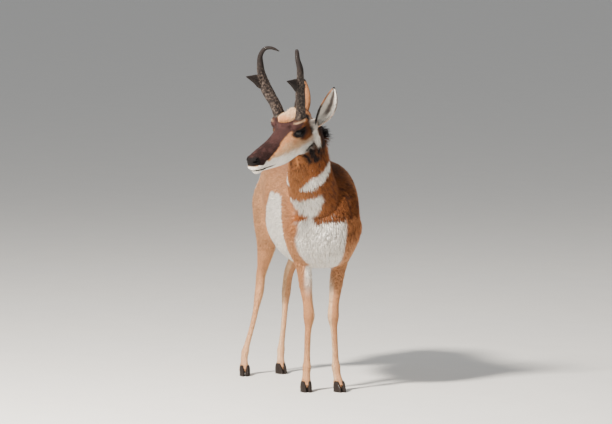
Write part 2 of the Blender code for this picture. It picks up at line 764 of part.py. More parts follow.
def toe(name, x, y, turn, wide, target):
    """One pointed toe with a flat sole: height, half width, reach forward and back, set back."""
    rows = (
        (0.0000, 0.0108, 0.0380, 0.0230, 0.000),
        (0.0100, 0.0106, 0.0330, 0.0225, 0.001),
        (0.0220, 0.0102, 0.0260, 0.0215, 0.003),
        (0.0330, 0.0095, 0.0190, 0.0170, 0.005),
        (0.0400, 0.0070, 0.0110, 0.0110, 0.006),
    )
    ahead = Vector((math.sin(turn), -math.cos(turn), 0))
    beside = Vector((math.cos(turn), math.sin(turn), 0))
    rings = []
    for height, width, front, back, set_back in rows:
        centre = Vector((x, y, height)) - ahead * set_back
        rings.append(section(centre, beside, ahead, width * wide, front, back, -0.30, 12))
    return loft(name, rings, target)


def part_legs(target):
    """The free parts of the legs and their toes, each a node."""
    made = {}
    plan = (
        ("front", "left", FORELEG, FORELEG_WAYS["left"], FORE_CUT, KNEE_CUT, 0.0595, -0.285, 4, 1.0),
        ("front", "right", FORELEG, FORELEG_WAYS["right"], FORE_CUT, KNEE_CUT, -0.063, -0.252, -6, 1.0),
        ("hind", "left", HIND_LEG, HIND_LEG_WAYS["left"], HIND_CUT, HOCK_CUT, 0.025, 0.407, 6, 0.93),
        ("hind", "right", HIND_LEG, HIND_LEG_WAYS["right"], HIND_CUT, HOCK_CUT, -0.133, 0.365, -14, 0.93),
    )
    for pair, side, stations, ways, top, middle, x, y, degrees, wide in plan:
        place = pair + "_" + side
        upper = loft("leg_" + place, leg_rings(stations, ways, top - GAP, middle + 0.5 * GAP), target)
        lower = loft("cannon_" + place, leg_rings(stations, ways, middle - 0.5 * GAP, COFFIN), target)
        turn = math.radians(degrees)
        spread = 0.0116 * wide + GAP
        for way, s in (("inner", -1), ("outer", 1)):
            out = s if side == "left" else -s
            shift_x = out * spread * math.cos(turn)
            shift_y = out * spread * math.sin(turn)
            name = "hoof_" + place + "_" + way
            guest = toe(name, x + shift_x, y + shift_y, turn, wide, target)
            lower = seat(lower, guest, target)
            made[name] = guest
        made["leg_" + place] = upper
        made["cannon_" + place] = lower
    return made


def main():
    clear_scene()
    nodes = collection("nodes")
    made = part_legs(nodes)

    body = fused("body", body_forms(nodes), BODY_VOXEL, 6, 3300, nodes)
    trunk = bpy.data.objects.new("torso", body.data.copy())
    nodes.objects.link(trunk)
    trunk = cut_behind(trunk, NECK_PLANE[0], -NECK_PLANE[1], nodes)
    trunk = combine(trunk, block("low", (-1, -1, -1), (1, 1, FORE_CUT), nodes), "DIFFERENCE", nodes)
    trunk = combine(trunk, block("rear", (-1, 0.2, -1), (1, 1, HIND_CUT), nodes), "DIFFERENCE", nodes)

    neck = cut_behind(mane(body, nodes), NECK_PLANE[0], NECK_PLANE[1], nodes)
    neck.name = "neck"
    neck = cut_behind(neck, HEAD_PLANE[0], -HEAD_PLANE[1], nodes)

    forms = head_forms(nodes) + [loft("neck_top", neck_rings()[8:], nodes)]
    head = fused("head", forms, HEAD_VOXEL, 5, 2300, nodes)
    head = crown(cut_face(head, nodes), nodes)
    head = cut_behind(head, HEAD_PLANE[0], HEAD_PLANE[1], nodes)

    made["tail"] = tail(nodes)
    trunk = seat(trunk, made["tail"], nodes)
    for side, s in (("left", 1), ("right", -1)):
        eye = ball("eye_" + side, on_head(EYE_AT[0], s * EYE_AT[1], EYE_AT[2]), HEAD_AXES, (EYE_RADIUS,) * 3, nodes, 16)
        made["eye_" + side] = eye
        head = combine(head, eye_opening(s, nodes), "DIFFERENCE", nodes)
        head = seat(head, eye, nodes)
        for build in (horn, ear):
            guest = build(side, nodes)
            head = seat(head, guest, nodes)
            if build is ear:
                neck = seat(neck, guest, nodes)
            made[guest.name] = guest
    made["torso"] = trunk
    made["neck"] = neck
    made["head"] = head

    looks = {"eye": EYE, "horn": HORN, "hoof": HOOF, "tail": WHITE_HAIR}
    for name, obj in made.items():
        obj.name = name
        obj.data.transform(Matrix.Translation(STAND))
        obj.data.materials.clear()
        obj.data.materials.append(material(name, looks.get(name.split("_")[0], HIDE)))
    for extra in [obj for obj in bpy.data.objects if obj.name not in made]:
        bpy.data.objects.remove(extra, do_unlink=True)


main()
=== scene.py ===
# %% [markdown]
# A pronghorn buck, standing and looking to its right, at life size.
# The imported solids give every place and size. Here they get their looks: one soft skin, a coat
# of small solid tufts that lie along the body, wet eyes, ridged horns, cloven hooves and thin ears.

import math

import bmesh
import bpy
import numpy as np
from mathutils import Matrix, Vector
from mathutils.bvhtree import BVHTree


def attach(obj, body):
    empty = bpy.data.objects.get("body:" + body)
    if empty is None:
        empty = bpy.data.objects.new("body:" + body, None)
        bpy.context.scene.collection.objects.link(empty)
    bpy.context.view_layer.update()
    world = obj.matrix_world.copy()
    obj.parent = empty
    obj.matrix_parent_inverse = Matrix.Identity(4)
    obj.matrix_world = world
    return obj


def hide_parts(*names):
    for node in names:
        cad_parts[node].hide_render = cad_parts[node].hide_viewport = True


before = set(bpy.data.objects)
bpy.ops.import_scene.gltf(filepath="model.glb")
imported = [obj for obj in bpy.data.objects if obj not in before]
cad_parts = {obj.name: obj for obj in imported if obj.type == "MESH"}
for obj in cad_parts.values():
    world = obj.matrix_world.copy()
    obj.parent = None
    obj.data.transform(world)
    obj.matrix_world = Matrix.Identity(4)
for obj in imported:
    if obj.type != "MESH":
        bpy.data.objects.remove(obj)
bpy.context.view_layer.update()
print("packed nodes:", len(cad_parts))


def added(name, data):
    """A new object at the origin of the scene, which shows this data."""
    obj = bpy.data.objects.new(name, data)
    bpy.context.scene.collection.objects.link(obj)
    return obj


def preset(node, values):
    """Sets a shader node's inputs, each by its name."""
    for label, value in values.items():
        node.inputs[label].default_value = value



# %% [markdown]
# The camera comes first, because everything is judged through it. The photograph was taken with a
# long lens from far off and a little above the animal, so the view is nearly flat. The scale is the
# count of picture points to a metre, and one point of the picture is known: where the animal's own
# origin on the ground shows. The camera is placed from these.

# %% Camera
PICTURE = (612, 424)
VIEW_AZIMUTH = math.radians(-16.0)
VIEW_ELEVATION = math.radians(4.7)
LENS = 400.0
SENSOR = 36.0
DISTANCE = 25.9
CLIP_NEAR_AND_FAR = (1.0, 200.0)
ORIGIN_SHOWS_AT = (304.05, 384.8)
STAND = np.array((0.1069, 0.0460, 0.0))

CAMERA_BACK = np.array((
    math.sin(VIEW_AZIMUTH) * math.cos(VIEW_ELEVATION),
    -math.cos(VIEW_AZIMUTH) * math.cos(VIEW_ELEVATION),
    math.sin(VIEW_ELEVATION),
))
CAMERA_RIGHT = np.array((math.cos(VIEW_AZIMUTH), math.sin(VIEW_AZIMUTH), 0.0))
CAMERA_UP = np.cross(CAMERA_BACK, CAMERA_RIGHT)


def place_camera():
    """Puts the camera on the line of sight, so that the known point falls where the picture has it."""
    points_per_metre = PICTURE[0] * LENS / SENSOR / DISTANCE
    aside = (PICTURE[0] / 2 - ORIGIN_SHOWS_AT[0]) / points_per_metre
    raised = (ORIGIN_SHOWS_AT[1] - PICTURE[1] / 2) / points_per_metre / math.cos(VIEW_ELEVATION)
    target = STAND + CAMERA_RIGHT * aside + np.array((0, 0, raised))
    data = bpy.data.cameras.new("camera")
    data.lens, data.sensor_width = LENS, SENSOR
    data.clip_start, data.clip_end = CLIP_NEAR_AND_FAR
    camera = added("camera", data)
    turn = Matrix([Vector(axis) for axis in (CAMERA_RIGHT, CAMERA_UP, CAMERA_BACK)]).transposed()
    camera.matrix_world = Matrix.Translation(Vector(target + CAMERA_BACK * DISTANCE)) @ turn.to_4x4()
    bpy.context.scene.camera = camera
    return camera


print("camera at", [round(v, 2) for v in place_camera().location])

# %% [markdown]
# Studio light: a small strong lamp to the left of the camera, where the sun of the picture stands, two
# broad weak ones opposite and behind, and an even pale sky. The floor is a wide plain disc.

# %% Light and floor
LOOKED_AT = Vector((0, 0, 0.65))
# Name, azimuth and elevation in degrees, distance, size, power, colour
LAMPS = (
    ("key_lamp", -54.0, 40.0, 6.0, 0.7, 1350.0, (1.0, 0.94, 0.86)),
    ("fill_lamp", 40.0, 20.0, 7.0, 4.0, 20.0, (0.90, 0.95, 1.0)),
    ("back_lamp", 170.0, 50.0, 6.0, 3.0, 70.0, (1.0, 0.97, 0.92)),
)
SKY = {"Color": (0.90, 0.93, 0.97, 1), "Strength": 0.42}
FLOOR_RADIUS = 70.0
FLOOR_SIDES = 96


def lamp(name, azimuth, elevation, distance, size, power, colour):
    """A square area lamp that looks at the middle of the animal."""
    data = bpy.data.lights.new(name, "AREA")
    data.size, data.energy, data.color = size, power, colour
    made = added(name, data)
    a, e = math.radians(azimuth), math.radians(elevation)
    back = Vector((math.sin(a) * math.cos(e), -math.cos(a) * math.cos(e), math.sin(e)))
    made.location = LOOKED_AT + back * distance
    made.rotation_mode = "QUATERNION"
    made.rotation_quaternion = back.to_track_quat("Z", "Y")
    return made


print("lamps:", [lamp(*row).name for row in LAMPS])

world = bpy.data.worlds.new("sky")
world.use_nodes = True
preset(world.node_tree.nodes["Background"], SKY)
bpy.context.scene.world = world

angles = np.linspace(0, 2 * math.pi, FLOOR_SIDES, endpoint=False)
floor_rim = FLOOR_RADIUS * np.stack([np.cos(angles), np.sin(angles), 0 * angles], 1)
floor_mesh = bpy.data.meshes.new("floor")
floor_mesh.from_pydata(floor_rim.tolist(), [], [list(range(FLOOR_SIDES))])
floor = added("floor", floor_mesh)

# %% [markdown]
# Two kinds of helper make every shape. A smooth row of values runs through a few measured stations,
# and a ring stands round each station. Rings joined in order make a closed tube. All of it is done
# on whole arrays, so a shape of a hundred thousand points takes no longer than a small one.

# %% Shape helpers
def unit(vectors):
    """Each vector divided by its own length."""
    return vectors / np.maximum(np.linalg.norm(vectors, axis=-1, keepdims=True), 1e-12)


def step(values, low, high):
    """0 below low, 1 above high, and the smooth cubic 3t^2 - 2t^3 between."""
    t = np.clip((values - low) / (high - low), 0, 1)
    return t * t * (3 - 2 * t)


def smooth_rows(rows, steps):
    """Rows on a Catmull-Rom curve: in each span, the powers of t times its matrix times four rows."""
    rows = np.array(rows, float)
    ends = np.vstack([2 * rows[0] - rows[1], rows, 2 * rows[-1] - rows[-2]])
    t = np.arange(steps) / steps
    powers = np.stack([np.ones(steps), t, t**2, t**3], 1)
    matrix = 0.5 * np.array([[0, 2, 0, 0], [-1, 0, 1, 0], [2, -5, 4, -1], [-1, 3, -3, 1]])
    spans = np.stack([ends[i : len(ends) - 3 + i] for i in range(4)], 1)
    fine = np.einsum("tp,pq,sqc->stc", powers, matrix, spans)
    return np.vstack([fine.reshape(-1, rows.shape[1]), rows[-1]])


def rings(centre, side, up, width, top, bottom, taper=0.0, sides=48, power=2.0):
    """Egg-shaped rings: sideways the width times cos, upwards the top or bottom reach times sin,

    both to the power 2/p, which squares the ring where p is over 2, and narrowed by 1 + taper sin.
    """
    turn = np.arange(sides) * 2 * math.pi / sides
    across = np.sign(np.cos(turn)) * np.abs(np.cos(turn)) ** (2 / power)
    along = np.sign(np.sin(turn)) * np.abs(np.sin(turn)) ** (2 / power)
    width, top, bottom, taper = (np.atleast_1d(v)[:, None] for v in (width, top, bottom, taper))
    reach = np.where(along > 0, top, bottom) * along
    spread = width * across * (1 + taper * along)
    side, up = np.broadcast_to(side, centre.shape), np.broadcast_to(up, centre.shape)
    return centre[:, None] + spread[..., None] * side[:, None] + reach[..., None] * up[:, None]


def strips(count, sides, spans):
    """Four-sided faces between neighbouring rings, over this many spans; one a ring joins the ends too."""
    i, j = np.meshgrid(np.arange(spans), np.arange(sides), indexing="ij")
    k, after = (j + 1) % sides, (i + 1) % count
    quads = [i * sides + j, i * sides + k, after * sides + k, after * sides + j]
    return np.stack(quads, -1).reshape(-1, 4)


def tube(grid):
    """The points and faces of a closed tube over rings, with a fan of triangles on each end."""
    count, sides = grid.shape[:2]
    points = np.vstack([grid.reshape(-1, 3), grid[0].mean(0), grid[-1].mean(0)])
    j, k = np.arange(sides), (np.arange(sides) + 1) % sides
    first, last = count * sides, count * sides + 1
    start = np.stack([k, j, np.full(sides, first)], 1)
    end = np.stack([(count - 1) * sides + j, (count - 1) * sides + k, np.full(sides, last)], 1)
    return points, strips(count, sides, count - 1), np.vstack([start, end])


def ellipsoid(centre, axes, sizes, sides=32):
    """Rings of a ball: cos and sin of the height angle along and round its three half axes."""
    rise = np.linspace(-0.5, 0.5, sides // 2 + 1)[1:-1] * math.pi
    axes = np.asarray(axes) * np.asarray(sizes)[:, None]
    centres = centre + np.sin(rise)[:, None] * axes[0]
    turn = np.arange(sides) * 2 * math.pi / sides
    circle = np.cos(turn)[:, None] * axes[1] + np.sin(turn)[:, None] * axes[2]
    return centres[:, None] + np.cos(rise)[:, None, None] * circle


def joined(shapes):
    """Several shapes as one: their points in a row, and each one's faces counted on from the last."""
    points, quads, tris, start = [], [], [], 0
    for shape_points, shape_quads, shape_tris in shapes:
        points.append(shape_points)
        quads.append(shape_quads + start)
        tris.append(shape_tris + start)
        start += len(shape_points)
    return np.vstack(points), np.vstack(quads), np.vstack(tris)


def make(name, points, quads=None, tris=None):
    """A mesh object at the origin, from arrays of points, four-sided faces and triangles."""
    mesh = bpy.data.meshes.new(name)
    groups = [faces for faces in (quads, tris) if faces is not None and len(faces)]
    corners = np.concatenate([faces.ravel() for faces in groups]).astype(np.int32)
    sizes = np.concatenate([np.full(len(faces), faces.shape[1]) for faces in groups])
    mesh.vertices.add(len(points))
    mesh.vertices.foreach_set("co", np.asarray(points, np.float32).ravel())
    mesh.loops.add(len(corners))
    mesh.loops.foreach_set("vertex_index", corners)
    mesh.polygons.add(len(sizes))
    mesh.polygons.foreach_set("loop_start", (np.cumsum(sizes) - sizes).astype(np.int32))
    mesh.update(calc_edges=True)
    mesh.polygons.foreach_set("use_smooth", np.ones(len(sizes), bool))
    return added(name, mesh)


def face_outward(obj):
    """Turns a closed mesh's faces so that they point outwards."""
    mesh = bmesh.new()
    mesh.from_mesh(obj.data)
    bmesh.ops.recalc_face_normals(mesh, faces=mesh.faces)
    mesh.to_mesh(obj.data)
    mesh.free()
    return obj


def closed(name, *grids):
    """One mesh object of closed tubes over grids of rings, its faces turned outwards."""
    return face_outward(make(name, *joined([tube(grid) for grid in grids])))


def applied(obj):
    """The object with its modifiers made part of its mesh."""
    data = bpy.data.meshes.new_from_object(obj.evaluated_get(bpy.context.evaluated_depsgraph_get()))
    name = obj.name
    bpy.data.objects.remove(obj, do_unlink=True)
    return added(name, data)


def fused(obj, size):
    """The object's overlapping forms made one surface by a voxel remesh on a grid of this size."""
    fuse = obj.modifiers.new("fuse", "REMESH")
    fuse.mode, fuse.voxel_size = "VOXEL", size
    return applied(obj)


def values_of(items, label, width, kind=np.float32):
    """One property of all of a mesh's points, edges or faces as rows of an array."""
    values = np.empty(len(items) * width, kind)
    items.foreach_get(label, values)
    return values.reshape(-1, width)


def read(obj):
    """A mesh's points, point normals, edges and triangles as arrays."""
    mesh = obj.data
    mesh.calc_loop_triangles()
    return (
        values_of(mesh.vertices, "co", 3).astype(float),
        values_of(mesh.vertex_normals, "vector", 3).astype(float),
        values_of(mesh.edges, "vertices", 2, np.int32),
        values_of(mesh.loop_triangles, "vertices", 3, np.int32),
    )


def moved(obj, points):
    """Puts a mesh's points in these places, and reads its arrays again."""
    obj.data.vertices.foreach_set("co", points.astype(np.float32).ravel())
    obj.data.update()
    return read(obj)


def finished(obj, material):
    """Gives a mesh this one material and smooth shading."""
    obj.data.materials.clear()
    obj.data.materials.append(material)
    count = len(obj.data.polygons)
    obj.data.polygons.foreach_set("material_index", np.zeros(count, np.int32))
    obj.data.polygons.foreach_set("use_smooth", np.ones(count, bool))


def noise(points, size, seed=0):
    """Soft noise from -1 to 1: a random value at each corner of a lattice, blended by smooth cubics."""
    at = points / size + 57.3 * seed
    cell = np.floor(at).astype(np.int64)
    t = at - cell
    t = t * t * (3 - 2 * t)
    total = 0
    for corner in range(8):
        offset = np.array([(corner >> k) & 1 for k in range(3)])
        x, y, z = (cell + offset).T
        mixed = (x * 73856093) ^ (y * 19349663) ^ (z * 83492791) ^ (seed * 2654435761)
        value = ((mixed * 1103515245 + 12345) & 0x7FFFFFFF) / 0x3FFFFFFF - 1
        share = np.where(offset, t, 1 - t).prod(1)
        total = total + value * share
    return total


# %% [markdown]
# The animal's own measures. They are those of the solids: the trunk, neck and legs as stations with
# their half widths and depths, and the head on axes of its own, because it is turned and lowered.

# %% The animal's measures
HEAD_YAW = math.radians(64.0)
HEAD_PITCH = math.radians(25.5)
HEAD_ROLL = math.radians(2.0)
EYE_MIDDLE = np.array((-0.187, -0.435, 0.989))
EYE_AT = (-0.008, 0.0470, 0.012)
EYE_RADIUS = 0.0215
EAR_LENGTH = 0.164
# The height at which the flesh of a leg ends inside the hoof
COFFIN = 0.024

turn_of_head = Matrix.Rotation(-HEAD_YAW, 3, "Z") @ Matrix.Rotation(HEAD_PITCH, 3, "X")
turn_of_head = turn_of_head @ Matrix.Rotation(HEAD_ROLL, 3, "Y")
FORWARD = np.array(turn_of_head @ Vector((0, -1, 0)))
LEFT = np.array(turn_of_head @ Vector((1, 0, 0)))
UP = np.array(turn_of_head @ Vector((0, 0, 1)))
HEAD_AXES = np.array((FORWARD, LEFT, UP))

# The trunk from chest to buttock: y, x of the middle, top and bottom height, half width, taper
TRUNK = (
    (-0.402, -0.004, 0.64, 0.57, 0.03, 0.0), (-0.38, -0.004, 0.705, 0.528, 0.07, 0.0),
    (-0.335, -0.001, 0.788, 0.49, 0.113, 0.0), (-0.27, 0.002, 0.848, 0.47, 0.137, 0.02),
    (-0.2, 0.005, 0.87, 0.466, 0.143, 0.03), (-0.1, 0.008, 0.868, 0.464, 0.146, 0.01),
    (0.0, 0.01, 0.855, 0.478, 0.148, -0.02), (0.1, 0.015, 0.852, 0.516, 0.145, -0.02),
    (0.18, 0.019, 0.859, 0.57, 0.131, -0.02), (0.27, 0.021, 0.866, 0.618, 0.113, 0.0),
    (0.35, 0.022, 0.849, 0.626, 0.099, 0.0), (0.42, 0.022, 0.804, 0.64, 0.08, 0.0),
    (0.455, 0.022, 0.765, 0.66, 0.052, 0.0), (0.468, 0.022, 0.735, 0.69, 0.024, 0.0),
)
TRUNK_POWER = 2.55

# The neck: x, y, z of its axis, turn to the right in degrees, half width, depth to the nape and throat
NECK = (
    (-0.006, -0.215, 0.64, 0, 0.092, 0.12, 0.14), (-0.034, -0.285, 0.73, 8, 0.098, 0.104, 0.118),
    (-0.066, -0.322, 0.81, 20, 0.091, 0.084, 0.112), (-0.081, -0.348, 0.885, 34, 0.077, 0.07, 0.094),
    (-0.088, -0.368, 0.945, 46, 0.064, 0.06, 0.08), (-0.095, -0.385, 1.0, 56, 0.054, 0.05, 0.072),
    (-0.097, -0.393, 1.03, 62, 0.045, 0.04, 0.06),
)

# A foreleg and a hind leg: height, half width, depth to the front and back
FORELEG = (
    (0.8, 0.02, 0.045, 0.045), (0.74, 0.036, 0.085, 0.085), (0.66, 0.043, 0.108, 0.105),
    (0.6, 0.044, 0.098, 0.1), (0.54, 0.041, 0.073, 0.078), (0.49, 0.035, 0.05, 0.054),
    (0.445, 0.028, 0.038, 0.038), (0.39, 0.0235, 0.03, 0.03), (0.34, 0.0195, 0.0235, 0.0235),
    (0.31, 0.0205, 0.024, 0.0225), (0.285, 0.0215, 0.0255, 0.0225), (0.262, 0.018, 0.02, 0.021),
    (0.235, 0.013, 0.0145, 0.0165), (0.16, 0.0118, 0.013, 0.015), (0.115, 0.013, 0.0145, 0.018),
    (0.092, 0.0165, 0.018, 0.0225), (0.07, 0.015, 0.017, 0.0195), (0.048, 0.0165, 0.019, 0.019),
    (0.026, 0.021, 0.027, 0.02),
)
HIND_LEG = (
    (0.83, 0.03, 0.06, 0.06), (0.77, 0.04, 0.095, 0.1), (0.7, 0.044, 0.118, 0.128),
    (0.63, 0.045, 0.112, 0.13), (0.57, 0.042, 0.088, 0.108), (0.52, 0.035, 0.07, 0.074),
    (0.47, 0.028, 0.055, 0.05), (0.425, 0.021, 0.037, 0.038), (0.385, 0.017, 0.0265, 0.04),
    (0.35, 0.0165, 0.026, 0.035), (0.315, 0.017, 0.0235, 0.025), (0.285, 0.0145, 0.018, 0.0195),
    (0.25, 0.0115, 0.014, 0.0155), (0.17, 0.0106, 0.0125, 0.0142), (0.115, 0.012, 0.0138, 0.0168),
    (0.092, 0.015, 0.0168, 0.021), (0.07, 0.0138, 0.0158, 0.0178), (0.048, 0.015, 0.018, 0.018),
    (0.026, 0.019, 0.025, 0.019),
)
# The way down of each leg: height, x, y
FRONT_LEFT_WAY = (
    (0.8, 0.06, -0.195), (0.66, 0.098, -0.24), (0.6, 0.1, -0.245), (0.54, 0.092, -0.226),
    (0.49, 0.078, -0.212), (0.445, 0.069, -0.22), (0.39, 0.058, -0.232), (0.29, 0.043, -0.25),
    (0.2, 0.0485, -0.25), (0.092, 0.0535, -0.252), (0.048, 0.057, -0.266), (0.026, 0.0595, -0.276),
)
FRONT_RIGHT_WAY = (
    (0.8, -0.06, -0.195), (0.66, -0.0952, -0.24), (0.6, -0.096, -0.24), (0.54, -0.0826, -0.22),
    (0.49, -0.0631, -0.203), (0.445, -0.0556, -0.201), (0.39, -0.0531, -0.211), (0.29, -0.046, -0.228),
    (0.2, -0.0504, -0.225), (0.092, -0.0528, -0.222), (0.048, -0.0589, -0.234), (0.026, -0.063, -0.243),
)
HIND_LEFT_WAY = (
    (0.83, 0.072, 0.305), (0.7, 0.102, 0.322), (0.63, 0.104, 0.318), (0.57, 0.1, 0.306),
    (0.52, 0.09, 0.318), (0.47, 0.076, 0.348), (0.425, 0.063, 0.385), (0.385, 0.059, 0.42),
    (0.315, 0.052, 0.432), (0.2, 0.043, 0.432), (0.092, 0.032, 0.435), (0.048, 0.027, 0.424),
    (0.026, 0.025, 0.416),
)
HIND_RIGHT_WAY = (
    (0.83, -0.026, 0.3), (0.7, -0.0568, 0.316), (0.63, -0.0603, 0.306), (0.57, -0.0638, 0.286),
    (0.52, -0.0671, 0.284), (0.47, -0.0687, 0.306), (0.425, -0.0676, 0.338), (0.385, -0.067, 0.368),
    (0.315, -0.071, 0.384), (0.2, -0.0945, 0.388), (0.092, -0.1237, 0.392), (0.048, -0.131, 0.382),
    (0.026, -0.133, 0.374),
)
LEGS = {
    "front_left": (FORELEG, FRONT_LEFT_WAY, 0.800),
    "front_right": (FORELEG, FRONT_RIGHT_WAY, 0.800),
    "hind_left": (HIND_LEG, HIND_LEFT_WAY, 0.830),
    "hind_right": (HIND_LEG, HIND_RIGHT_WAY, 0.830),
}

# The tail: x, y, z of its axis, half width, half depth
TAIL = (
    (0.022, 0.41, 0.812, 0.018, 0.014), (0.022, 0.44, 0.806, 0.026, 0.017),
    (0.023, 0.466, 0.785, 0.031, 0.019), (0.024, 0.48, 0.752, 0.029, 0.017),
    (0.025, 0.484, 0.722, 0.018, 0.011), (0.026, 0.484, 0.704, 0.004, 0.003),
)

# The head along the muzzle: forward, top, bottom, half width, taper
HEAD = (
    (-0.128, 0.008, -0.05, 0.024, 0.0), (-0.105, 0.034, -0.078, 0.044, 0.05),
    (-0.06, 0.055, -0.088, 0.054, 0.1), (-0.02, 0.056, -0.09, 0.056, 0.12),
    (0.02, 0.045, -0.092, 0.053, 0.18), (0.06, 0.032, -0.092, 0.046, 0.22),
    (0.1, 0.0265, -0.083, 0.0385, 0.18), (0.14, 0.0245, -0.071, 0.033, 0.1),
    (0.172, 0.0225, -0.0615, 0.031, 0.05), (0.194, 0.019, -0.0565, 0.0295, 0.0),
    (0.207, 0.012, -0.05, 0.025, 0.0), (0.215, 0.002, -0.038, 0.015, 0.0),
)
# Forms on each side of the head: forward, left, up, and half sizes along the same axes
SIDE_FORMS = (
    ((-0.01, 0.0455, 0.011), (0.033, 0.029, 0.0275)), ((-0.006, 0.0525, 0.0215), (0.024, 0.0185, 0.011)),
    ((0.03, 0.0385, -0.012), (0.04, 0.011, 0.01)), ((-0.03, 0.03, -0.048), (0.06, 0.024, 0.04)),
    ((-0.026, 0.058, 0.04), (0.036, 0.0265, 0.026)), ((-0.092, 0.044, -0.004), (0.026, 0.021, 0.024)),
    ((0.192, 0.018, -0.004), (0.019, 0.0135, 0.017)), ((0.182, 0.017, -0.028), (0.034, 0.015, 0.012)),
    ((0.172, 0.012, -0.047), (0.036, 0.014, 0.009)),
)
MIDDLE_FORMS = (
    ((-0.07, 0, 0.028), (0.052, 0.048, 0.042)), ((-0.014, 0, 0.044), (0.04, 0.044, 0.018)),
    ((0.204, 0, -0.01), (0.012, 0.016, 0.015)), ((0.19, 0, -0.05), (0.02, 0.018, 0.011)),
)


def on_head(places):
    """Points given as forward, left and up from midway between the eyes, in the scene's frame."""
    return STAND + EYE_MIDDLE + np.asarray(places, float) @ HEAD_AXES


def head_places(points):
    """The same the other way: how far forward, left and up of the eyes' middle each point lies."""
    return (points - STAND - EYE_MIDDLE) @ HEAD_AXES.T


neck_line = smooth_rows(NECK, 12)
neck_axis = neck_line[:, :3] + STAND
neck_along = unit(np.gradient(neck_axis, axis=0))
neck_turn = np.radians(neck_line[:, 3])
neck_side = np.stack([np.cos(neck_turn), -np.sin(neck_turn), 0 * neck_turn], 1)
neck_nape = unit(np.cross(neck_along, neck_side))

# %% [markdown]
# Skin. A taxidermist fills the form first and then draws one hide over it. The forms here are closed
# tubes and balls that reach well into one another. A voxel remesh fuses them into a single surface,
# smoothing then melts the joins, more on the deep body than on the fine head and legs, and the hide
# is drawn in by the depth of the coat that will cover it.

# %% Fuse the forms
FINE_VOXEL = 0.0027
SKIN_VOXEL = FINE_VOXEL
SKIN_TRIANGLES = 170000


def trunk_form():
    """Squarish rings along the trunk, halfway between its top and bottom."""
    y, x, top, bottom, width, taper = smooth_rows(TRUNK, 6).T
    centre = np.stack([x, y, 0.5 * (top + bottom)], 1) + STAND
    half = 0.5 * (top - bottom)
    return rings(centre, (1, 0, 0), (0, 0, 1), width, half, half, taper, 64, TRUNK_POWER)


def neck_form():
    """Rings across the neck's own axis, deeper to the throat than to the nape."""
    return rings(neck_axis, neck_side, neck_nape, *neck_line.T[4:], 0, 56)


def leg_line(name, heights):
    """Along a leg at each height: the centre, half width and depths to the front and back."""
    stations, ways, _ = LEGS[name]
    fine, way = smooth_rows(stations, 6), smooth_rows(ways, 6)
    sizes = [np.interp(-heights, -fine[:, 0], fine[:, k]) for k in (1, 2, 3)]
    x, y = (np.interp(-heights, -way[:, 0], way[:, k]) for k in (1, 2))
    return np.stack([x, y, heights], 1) + STAND, sizes


def leg_form(name):
    """Level rings every 5 mm down a leg."""
    heights = np.arange(LEGS[name][2], COFFIN, -0.005)
    centre, (width, front, back) = leg_line(name, heights)
    return rings(centre, (1, 0, 0), (0, -1, 0), width, front, back, 0, 32)


def tail_form():
    """Rings across the tail's axis."""
    fine = smooth_rows(TAIL, 6)
    along = unit(np.gradient(fine[:, :3], axis=0))
    back = unit(np.cross((1.0, 0, 0), along))
    return rings(fine[:, :3] + STAND, (1, 0, 0), back, fine[:, 3], fine[:, 4], fine[:, 4], 0, 24)


def skull_form():
    """Rings along the muzzle on the head's own axes."""
    forward, top, bottom, width, taper = smooth_rows(HEAD, 8).T
    centre = on_head(np.stack([forward, 0 * forward, 0.5 * (top + bottom)], 1))
    half = 0.5 * (top - bottom)
    return rings(centre, LEFT, UP, width, half, half, taper, 48)


def head_balls():
    """The brows, cheeks, lips and nose as balls on the head's axes, each side one mirrored."""
    made = [ellipsoid(on_head(place), HEAD_AXES, sizes) for place, sizes in MIDDLE_FORMS]
    for s in (1, -1):
        for (forward, left, up), sizes in SIDE_FORMS:
            made.append(ellipsoid(on_head((forward, s * left, up)), HEAD_AXES, sizes))
    return made


forms = [trunk_form(), neck_form(), tail_form(), skull_form()] + head_balls()
forms += [leg_form(name) for name in LEGS]
skin = fused(closed("hide", *forms), SKIN_VOXEL)
print("fused forms:", len(forms), "points:", len(skin.data.vertices))

# %% Smooth the joins and draw the hide in
HEAD_PLANE_POINT = on_head((-0.150, 0, 0.030))
HEAD_PLANE_WAY = unit(FORWARD * 0.745 + UP * 0.668)
NECK_PLANE_POINT = STAND + np.array((0, -0.226, 0.860))
NECK_PLANE_WAY = unit(np.array((-0.14, -0.72, 0.68)))


def shares(points):
    """How far each point belongs to the head, the neck, a leg or the tail, from 0 to 1."""
    head = step((points - HEAD_PLANE_POINT) @ HEAD_PLANE_WAY, -0.012, 0.020)
    neck = step((points - NECK_PLANE_POINT) @ NECK_PLANE_WAY, -0.03, 0.05) * (1 - head)
    leg = 1 - step(points[:, 2] + 0.10 * (points[:, 1] < 0.1), 0.44, 0.57)
    tail = step(points[:, 1], 0.505, 0.520) * step(points[:, 2], 0.690, 0.700)
    return head, neck, leg, tail


def coat_depth(points):
    """How far the hide lies under the coat's outline: shallow on face and feet, deeper on the body."""
    head, neck, leg, tail = shares(points)
    body = 0.0050 + 0.0015 * neck
    face = 0.0012 + 0.0016 * step(-head_places(points)[:, 0], -0.08, 0.08)
    depth = body * (1 - head) + face * head
    return depth * (1 - leg) + 0.0014 * leg + 0.001 * tail


def relaxed(points, edges, weight, rounds):
    """Moves each point a share of the way to the mean of its neighbours, in several rounds."""
    count = np.bincount(edges.ravel(), minlength=len(points))[:, None]
    ends = np.vstack([edges, edges[:, ::-1]])
    for _ in range(rounds):
        near = [np.bincount(ends[:, 0], points[ends[:, 1], k], len(points)) for k in range(3)]
        points = points + weight[:, None] * (np.stack(near, 1) / count - points)
    return points


